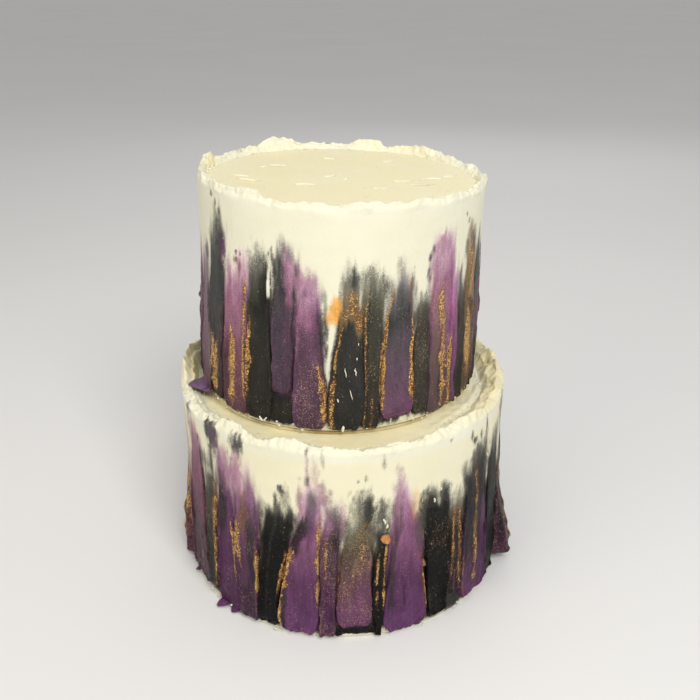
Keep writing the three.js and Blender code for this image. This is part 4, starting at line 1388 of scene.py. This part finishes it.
def pull_outline(tier, i, spec, insets):
    """Where the points of a pull's front lie on the wall, in rows from foot to top."""
    foot, top, radius = spec["foot"], spec["top"], tier["radius"]
    seed = 1000 + i * 17 + int(radius)
    width = float(radius * (seam_at(tier, i + 1, foot) - seam_at(tier, i, foot)))
    columns = max(FEWEST_COLUMNS, round(width / STEP_ACROSS))
    rows = max(FEWEST_ROWS, round((top - foot) / STEP_UP))
    across = (1 - np.cos(np.linspace(0, math.pi, columns + 1))) / 2
    across = blend(np.linspace(0, 1, columns + 1), across, 0.6)[None, :]
    steps = (np.linspace(0, 1, rows + 1) ** 1.2)[:, None]
    torn = 1.1 * relief_along(seed, across * width, 3.2) + 0.6 * relief_along(seed + 13, across * width, 1.1)
    low = foot + 0.2 + np.abs(torn) * (1.0 if foot > 1.5 else 0.6)
    dips = 0.5 + 0.5 * relief_along(seed + 1, across * width, 2.6)
    z = blend(low, top - min(7, 0.08 * (top - foot)) * dips, steps)
    left, right, aim, share, up, below = spread(tier, i, z, spec)

    def wander(n):
        return 0.7 * relief_along(seed + n, z, 11) + 0.3 * relief_along(seed + n + 1, z, 2.2)

    start = left + (insets[0] + wander(2)) / radius
    end = right - (insets[1] + wander(4)) / radius
    wide = share * (right - left) * radius
    return SimpleNamespace(
        seed=seed, width=width, across=across, z=z, low=low, up=up, below=below, wide=wide,
        turn=blend(start, end, aim + (across - aim) * share), side=np.minimum(across, 1 - across) * wide,
        steps=steps + 0 * z, arc=across * width + 0 * z,
    )


trial = pull_outline(UPPER, 3, UPPER["strokes"][3], (0, 0, 1))
print("points on one pull, up and across:", trial.z.shape)

# %% Depth of a pull
THICKNESS = 2.8
THICKEST = 3.4
LIP_SET_IN, LIP_SPREAD = 1.0, 0.6
DIVE_DEPTH = 0.4


def knife_marks(p):
    """Drag lines, soft unevenness and pits together, and the chatter towards the top, in mm."""
    drag = 0.07 * relief(p.seed + 8, p.arc, p.z, 0.9, 26) + 0.16 * relief(p.seed + 9, p.arc, p.z, 2.4, 18)
    lumpy = 0.42 * relief(p.seed + 10, p.arc, p.z, 5, 9) + 0.18 * relief(p.seed + 16, p.arc, p.z, 1.6, 2.2)
    lumpy = lumpy + 0.7 * (1 - ease(1, 8, p.z - p.low)) * relief(p.seed + 14, p.arc, p.z, 2.2, 1.7)
    pits = -0.4 * ease(0.65, 0.95, relief(p.seed + 11, p.arc, p.z, 1.1, 1.5))
    chatter = 0.12 * ease(0.3, 0.7, p.up) * relief(p.seed + 15, p.arc + p.z, p.z, 2.2, 1.5)
    return drag + lumpy + pits, chatter


def pull_depth(spec, p, thickness):
    """How far a pull stands off the wall in mm, and how free each point is of the pull's rim."""
    shoulder = blend(0.9, 0.4 * p.wide, ease(0.45, 1, p.up))
    s = np.clip(p.side / shoulder, 0, 1)
    edge_round = np.sqrt(s * (2 - s))
    lip = np.maximum(0.2, 0.8 + 1.3 * relief(p.seed + 6, p.z, 0 * p.z + 3 * (p.across > 0.5), 9, 1))
    lip = 0.4 * lip * np.exp(-((p.side - LIP_SET_IN) / LIP_SPREAD) ** 2)
    bulge = blend(0.76, 0.92, np.abs(2 * p.across - 1)) + lip
    roll = blend(0.55, 1, np.sqrt(1 - p.below ** 2)) * ease(-0.8, 1.4, p.z - p.low)
    feather = 1 - 0.93 * np.minimum(p.up, 1) ** 1.35
    depth = THICKNESS * thickness * bulge * edge_round * roll * feather
    marks, chatter = knife_marks(p)
    depth = np.minimum(depth + marks * edge_round * feather + chatter * edge_round, THICKEST)
    foot, (flick, flick_height) = spec["foot"], spec["flick"]
    depth += flick * (1 - ease(foot, foot + flick_height, p.z)) * ease(0, 0.25 * p.width, p.side)
    for spot, high, reach, rise in spec["lumps"]:
        near = np.hypot((p.across - spot) * p.wide, p.z - high) / reach
        depth += rise * (1 - ease(0, 1, near)) * (1 + 0.4 * relief(p.seed + 12, p.arc, p.z, 1.6, 1.6))
    dive = ease(0.6, 0.95, p.up) * (1 - ease(0, 1.6, p.side)) + ease(0.94, 1, p.steps)
    return depth - DIVE_DEPTH * np.minimum(dive, 1), edge_round * feather


print("deepest point of that pull, mm:", round(float(pull_depth(UPPER["strokes"][3], trial, 1)[0].max()), 2))

# %% A closed pull
GOLD_RIDGE = 0.6
SUNK = 0.5
SPILL = 2.5


def closed_faces(rows, columns):
    """Quads of a fine front and a back of three columns, joined at the sides, foot and top."""
    front, back = np.arange(rows * columns).reshape(rows, columns).tolist(), []
    for j in range(rows):
        back.append([rows * columns + 3 * j + k for k in range(3)])
    faces = []
    for f, above, b, over in zip(front, front[1:], back, back[1:]):
        faces += [(f[k], f[k + 1], above[k + 1], above[k]) for k in range(columns - 1)]
        faces += [(b[k], over[k], over[k + 1], b[k + 1]) for k in range(2)]
        faces.append((f[0], above[0], over[0], b[0]))
        faces.append((f[-1], b[2], over[2], above[-1]))
    faces.append(back[0] + front[0][::-1])
    faces.append(front[-1] + back[-1][::-1])
    return faces


def pull_mesh(tier, i, spec, insets):
    """Points, faces and paint of one closed pull."""
    p = pull_outline(tier, i, spec, insets)
    depth, free = pull_depth(spec, p, insets[2])
    turn, z = p.turn, p.z
    sheet, own = paint_wall(tier, turn, z), Sheet(z.shape)
    own.lay(np.ones(z.shape), cream_colour(spec["look"], p.up))
    lay_stroke_paint(own, tier, i, turn, z, spec, spill=SPILL)
    lay_touches(own, tier, turn, z)
    own.colour = blend(own.colour, IVORY, tier["pale"])
    sheet.lay(1 - ease(0.6, 0.9, p.up), own.colour, own.gold, own.dust)
    front = place(tier, turn, wall(tier, turn, z) + (depth + GOLD_RIDGE * own.gold * free), z)
    rows, columns = z.shape
    ends = [0, columns // 2, columns - 1]
    back_turn, back_z = turn[:, ends], z[:, ends]
    back_turn[:, 1] = (back_turn[:, 0] + back_turn[:, 2]) / 2
    back = place(tier, back_turn, wall(tier, back_turn, back_z) - SUNK, back_z)
    points = np.concatenate([front.reshape(-1, 3), back.reshape(-1, 3)])
    return points, closed_faces(rows, columns), sheet.values(1.0, 3 * rows)


print("faces of the smallest closed pull:", len(closed_faces(FEWEST_ROWS, FEWEST_COLUMNS)))

# %% [markdown]
# ## All the strokes
# Every stroke that the front shows is a piece of its own. At the back two neighbours make one piece,
# as in the solids. A short dark lip lies under the two strokes whose feet end high.

# %% Lay the strokes
METALS = {
    "copper": "d2a076", "purple": "cba894", "plum": "c8a288", "rose": "d2a88c", "black": "b4a27e",
    "olive": "b3a67e", "bronze": "c0a47a",
}
ROUGHNESS_AND_SHINE = {"black": (0.4, 0.12), "olive": (0.4, 0.15)}
USUAL_ROUGHNESS_AND_SHINE = (0.38, 0.18)
LIP_FOOT, LIP_OVERLAP = 2.2, 3
LIP_INSETS = (-2.2, -1.2, 0.7)
MOST_STROKES = 60
stroke_finishes = {
    tone: cream_finish(tone + "_cream", metal, *ROUGHNESS_AND_SHINE.get(tone, USUAL_ROUGHNESS_AND_SHINE))
    for tone, metal in METALS.items()
}


def draw_insets(tier):
    """For each stroke: how far its sides are set in, left and right, and its share of the thickness."""
    random = np.random.default_rng(tier["back_seed"])
    return random.uniform((-1.0, -1.0, 0.85), (0.3, 0.3, 1.1), (MOST_STROKES, 3))


def join(parts):
    """Several meshes' points, faces and values as one."""
    points, faces, values, offset = [], [], {}, 0
    for part_points, part_faces, part_values in parts:
        faces += [[k + offset for k in face] for face in part_faces]
        points.append(part_points)
        offset += len(part_points)
        for key, value in part_values.items():
            values.setdefault(key, []).append(value)
    return np.concatenate(points), faces, {key: np.concatenate(value) for key, value in values.items()}


def lay_stroke(tier, number, tone, parts):
    node = f"{tier['name']}_{number:02d}_{tone}"
    points, faces, values = join(parts)
    make_piece("stroke_" + node, points, faces, stroke_finishes[tone], tone + "_buttercream", node, values)


for tier in (LOWER, UPPER):
    number, strokes, insets = 0, tier["strokes"], draw_insets(tier)
    for i, it in enumerate(tier["front"]):
        number += 1
        lay_stroke(tier, number, it["tone"], [pull_mesh(tier, i, it, insets[i])])
        if it["lip"]:
            number += 1
            lip = {**it, "foot": LIP_FOOT, "top": it["lip"] + LIP_OVERLAP, "point": 0, "tip": 0.5}
            lip = {**lip, "look": "black", "veins": (), "dust": TRACE_OF_DUST}
            lay_stroke(tier, number, "black", [pull_mesh(tier, i, lip, LIP_INSETS)])
    for i in range(len(tier["front"]), len(strokes), 2):
        number += 1
        pair = [pull_mesh(tier, k, strokes[k], insets[k]) for k in (i, i + 1)]
        lay_stroke(tier, number, strokes[i]["tone"], pair)
    print(tier["name"], "stroke pieces:", number)

# %% [markdown]
# ## Balls of cream
# Small bits of cream start as a ball, which is then dented, stretched and bent. Three finenesses
# are kept: coarse for crumbs, finer for slivers and scratches, and finest for bead and tongues.

# %% Balls


def make_ball(subdivisions):
    """Points and faces of a ball of radius 1."""
    ball = bmesh.new()
    bmesh.ops.create_icosphere(ball, subdivisions=subdivisions, radius=1)
    points = np.array([v.co for v in ball.verts])
    faces = [[v.index for v in face.verts] for face in ball.faces]
    ball.free()
    return points, faces


SMALL_BALL, BALL, FINE_BALL = make_ball(1), make_ball(2), make_ball(3)
print("faces of the balls:", [len(faces) for _, faces in (SMALL_BALL, BALL, FINE_BALL)])

# %% [markdown]
# ## Crumbs
# Scraping and handling leave small torn crumbs of ivory cream: along the foot of each round, on the
# flat of the top, and thickest along the rim's inner edge, where they lie the way the scraper went.

# %% Crumbs


def any_seed(random):
    return int(random.integers(900))


def crumb(random, middle, size, turn=None):
    """One dented crumb. size is its half lengths in mm, and turn the way it lies."""
    points, faces = SMALL_BALL
    x, y, z = points.T
    dents = 1 + 0.35 * relief(any_seed(random), 2 * x + 9, 2 * y + z, 1, 1)
    turn = random.uniform(0, math.tau) if turn is None else turn
    stretched = points * dents[:, None] * np.array(size) * MM
    return middle + stretched @ np.array(Matrix.Rotation(turn, 3, "Z")).T, faces, {}


def crumbs_at_foot(random, tier, count):
    for _ in range(count):
        turn = random.uniform(0, math.tau)
        size = random.uniform(0.25, 0.9) * random.uniform((0.6, 0.6, 0.5), (1.5, 1.5, 1.0))
        high = random.uniform(0.6, 4) + size[2]
        out = random.uniform(0.2, 2.6) * min(1, 4 / high)
        yield crumb(random, place(tier, turn, wall(tier, turn, high) + out, high), size)


def crumbs_on_top(random, tier, count, inner, outer):
    for _ in range(count):
        turn = random.uniform(0, math.tau)
        size = random.uniform(0.3, 0.8) * random.uniform((0.5, 0.5, 0.2), (2.4, 1.0, 0.4))
        radius = blend(inner, outer, random.random() ** 0.5)
        yield crumb(random, place(tier, turn, radius, tier["height"] + 0.25), size)


def crumbs_at_rim(random, tier, count):
    for _ in range(count):
        turn = random.uniform(0, math.tau)
        inner = rim_lines(tier, np.array([turn]))[2][0]
        size = random.uniform(0.6, 1.3) * random.uniform((0.8, 0.4, 0.35), (2.2, 0.9, 0.8))
        middle = place(tier, turn, inner + random.uniform(-1.5, 1.2), tier["height"] + 0.4)
        yield crumb(random, middle, size, turn + random.normal(0, 0.5))


crumb_random = np.random.default_rng(77)
scraps = [
    *crumbs_at_foot(crumb_random, LOWER, 90), *crumbs_at_foot(crumb_random, UPPER, 120),
    *crumbs_on_top(crumb_random, UPPER, 16, 20, 72), *crumbs_on_top(crumb_random, LOWER, 60, 86, 91),
    *crumbs_at_rim(crumb_random, UPPER, 50), *crumbs_at_rim(crumb_random, LOWER, 90),
]
print("crumbs:", len(scraps))

# %% [markdown]
# ## Slivers and scratches
# Thin slivers of ivory cream stuck to the strokes when the rims were torn. Each is an angle, a
# height, a length, a width and a tilt. On the flat of the upper top the scraper left short curved
# ridges: a place, a length, a width, a bend and an angle.

# %% Slivers
SLIVERS = [
    (UPPER, 2.9, 36.8, 6, 0.5, 9), (UPPER, 6.5, 37, 5, 0.7, 14), (UPPER, 7.2, 52.5, 1.6, 0.5, 0),
    (UPPER, 5.1, 23.8, 6.5, 0.5, 18), (UPPER, 0.6, 20.5, 2.4, 0.8, 20), (UPPER, 2.5, 3.2, 4, 1.6, 3),
    (UPPER, 6.8, 44.5, 1.6, 0.7, 8), (UPPER, -29.4, 4, 3.4, 1.1, 35), (UPPER, -27.7, 4.4, 3.4, 1.0, -40),
    (UPPER, 27, 30, 1.6, 0.6, 0), (LOWER, 13.2, 80, 4, 1.2, 10), (LOWER, 14, 76.5, 3, 1.2, -20),
    (LOWER, 57, 96, 3, 0.9, 10), (LOWER, 30.5, 86, 3.4, 1.1, 12), (LOWER, 33, 92, 2.4, 0.8, -10),
]


def sliver(random, tier, degrees, high, length, wide, tilt):
    """A scrap of cream stuck on a stroke, tilted by an angle in degrees to the right."""
    points, faces = BALL
    along = points * (wide / 2, wide / 2, length / 2)
    along = along @ np.array(Matrix.Rotation(math.radians(-tilt), 3, "Y")).T
    x, y, z = along.T
    bent = x + 0.12 * z ** 2 / length + 0.4 * relief_along(any_seed(random), z + 30, 1)
    lift = 0.4 + 2.4 * (1 - ease(30, 84, high))
    turn = math.radians(degrees) + bent / tier["radius"]
    return place(tier, turn, wall(tier, turn, high + z) + lift + y, high + z), faces, {}


scrap_random = np.random.default_rng(78)
scraps += [sliver(scrap_random, *row) for row in SLIVERS]
print("slivers:", len(SLIVERS))

# %% Scratches
SCRATCHES = [
    (34, -12, 12, 1.6, 2.5, 14), (50, -3, 14, 1.8, -2, 10), (61, 3, 8, 2.0, 1, 24),
    (44, -20, 16, 1.5, 3, 6), (20, -30, 10, 1.5, 2, -8), (-38, 22, 11, 1.8, -1.5, -4),
    (-46, 16, 6, 2.0, 1, 20), (-6, -4, 9, 2.0, 2, 35), (2, -9, 5, 1.9, 0, 60), (-20, -24, 13, 1.4, -2, 4),
    (-58, -8, 13, 1.3, 2, -16), (-52, -18, 16, 1.3, 3, -22), (28, 40, 9, 1.6, 1, 30),
    (-8, 44, 8, 1.5, -1, -12),
]


def scratch(random, x, y, length, wide, bend, turn):
    """A thin curved ridge on the flat of the upper top, at x and y from the axis in mm."""
    points, faces = BALL
    along = points[:, 0] * length / 2
    side = points[:, 1] * wide / 2 * (1 + 0.5 * relief_along(any_seed(random), along + 60, 1.4))
    side = side + bend * (2 * along / length) ** 2 + 0.9 * relief_along(any_seed(random), along + 60, 3)
    cos, sin = math.cos(math.radians(turn)), math.sin(math.radians(turn))
    px, py = x + along * cos - side * sin, y + along * sin + side * cos
    high = UPPER["height"] + 0.15 + points[:, 2] * 0.6
    return place(UPPER, np.arctan2(px, -py), np.hypot(px, py), high), faces, {}


scraps += [scratch(scrap_random, *row) for row in SCRATCHES]
scrap_points, scrap_faces, _ = join(scraps)
make_piece("crumbs", scrap_points, scrap_faces, wall_finish, "ivory_buttercream")
print("crumbs and scraps:", len(scraps))

# %% [markdown]
# ## Bead and flicks
# A bead of peach cream is stuck beside one stroke. Where the knife left the wall at the sides it
# flicked the cream outwards in short tongues. Each is a ball of cream, drawn out and bent.

# %% Tongues of cream
WALL_OVERLAP = 1
TIP_TAPER = 0.55
FLICK_DUST = 0.3


def tongue(random, tier, degrees, high, out, wide, tall, thick, rise, colour, gold=0.0):
    """A tongue that starts on the wall and reaches out by a length in mm, tall there and thick at its tip."""
    points, faces = FINE_BALL
    x, y, z = points.T
    along = (y + 1) / 2
    taper = 1 - TIP_TAPER * along
    seed = any_seed(random)
    dents = 1 + 0.22 * relief(seed, 2 * x + 9, 2 * z + 9, 1, 1)
    dents = dents + 0.1 * relief(seed + 1, 5 * x + 20, 5 * z + 5 * y + 20, 1, 1)
    side = x * wide / 2 * taper * dents
    up = z * blend(tall, thick, along) / 2 * taper * dents + rise * along ** 2
    turn = math.radians(degrees) + side / tier["radius"]
    reach = wall(tier, turn, high) - WALL_OVERLAP + (out + WALL_OVERLAP) * along
    many = np.ones(len(points))
    pigment = np.tile(linear(colour), (len(points), 1))
    values = {"amount": many, "gold": gold * many, "dust": FLICK_DUST * many, "pigment": pigment}
    return place(tier, turn, reach, high + up), faces, values


print("points on a tongue:", len(FINE_BALL[0]))

# %% Bead and flicks
FLICKS = {
    "purple": [
        (UPPER, -70, 3.4, 12.6, 17, 8, 3, 0.6, "745a7a"), (UPPER, -65, 2.8, 6.5, 11, 6, 3, 0, "6a4d70"),
        (LOWER, -46, 2.4, 7.5, 8, 4.2, 2.2, -0.6, "643463"),
        (LOWER, -40.5, 1.8, 4.6, 8, 3.4, 2.4, -0.3, "643463"),
        (LOWER, -66.5, 3.4, 4.5, 5, 4.5, 2, -0.5, "5c2f58"),
    ],
    "plum": [
        (LOWER, 77, 15, 12.6, 5.5, 7, 4.5, 1, "7a4c5c", 0.85),
        (LOWER, 75, 10.5, 11.5, 6, 6, 4, -1, "6a3a50", 0.6),
        (LOWER, 78.5, 9, 11, 4.5, 5, 3, -1, "5a3046", 0.4),
        (LOWER, 26.8, 46, 3.6, 4, 8, 5, 0, "8a5a5c", 0.5),
    ],
    "copper": [(LOWER, 13.7, 68.5, 4.6, 6.8, 6.8, 6.8, 0, "d9985c")],
}
tongue_random = np.random.default_rng(91)
for tone, rows in FLICKS.items():
    points, faces, painted = join([tongue(tongue_random, *row) for row in rows])
    slot = tone + "_buttercream"
    make_piece(tone + "_flicks", points, faces, stroke_finishes[tone], slot, values=painted)
    print(tone, "flicks:", len(rows))

# %% [markdown]
# ## The card between the rounds
# The upper round was built on a thin card. Only its edge shows, as a brown line under the frosting.

# %% Card finish
card = Finish("card_edge")
card_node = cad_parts["tier_card"]
fibres = card.noise(card.stretch(card.place(), (1, 1, 6)), 0.003) + 0.5
stain = card.noise(card.place(), 0.03, 2).step(0, 0.2)
brown = card.mix(fibres, opaque("97804c"), opaque("b9a46c"))
card.set(Base_Color=card.mix(stain, opaque("e0d5b0"), brown), Roughness=0.55)
card.set(Normal=card.bump(fibres, 0.0002, 0.4))
card_node.data.materials.clear()
card_node.data.materials.append(card.material)
print("card finish:", card.material.name)

# %% [markdown]
# ## Sizes for the record
# The dressed cake has to stay inside the box of its solids. Both boxes are written side by side.

# %% Measure and finish
visual_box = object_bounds()
sizes = {"cad": [list(corner) for corner in cad_box], "visual": [list(corner) for corner in visual_box]}
for name, (low, high) in sizes.items():
    print(name, [round(1000 * (b - a), 2) for a, b in zip(low, high)])
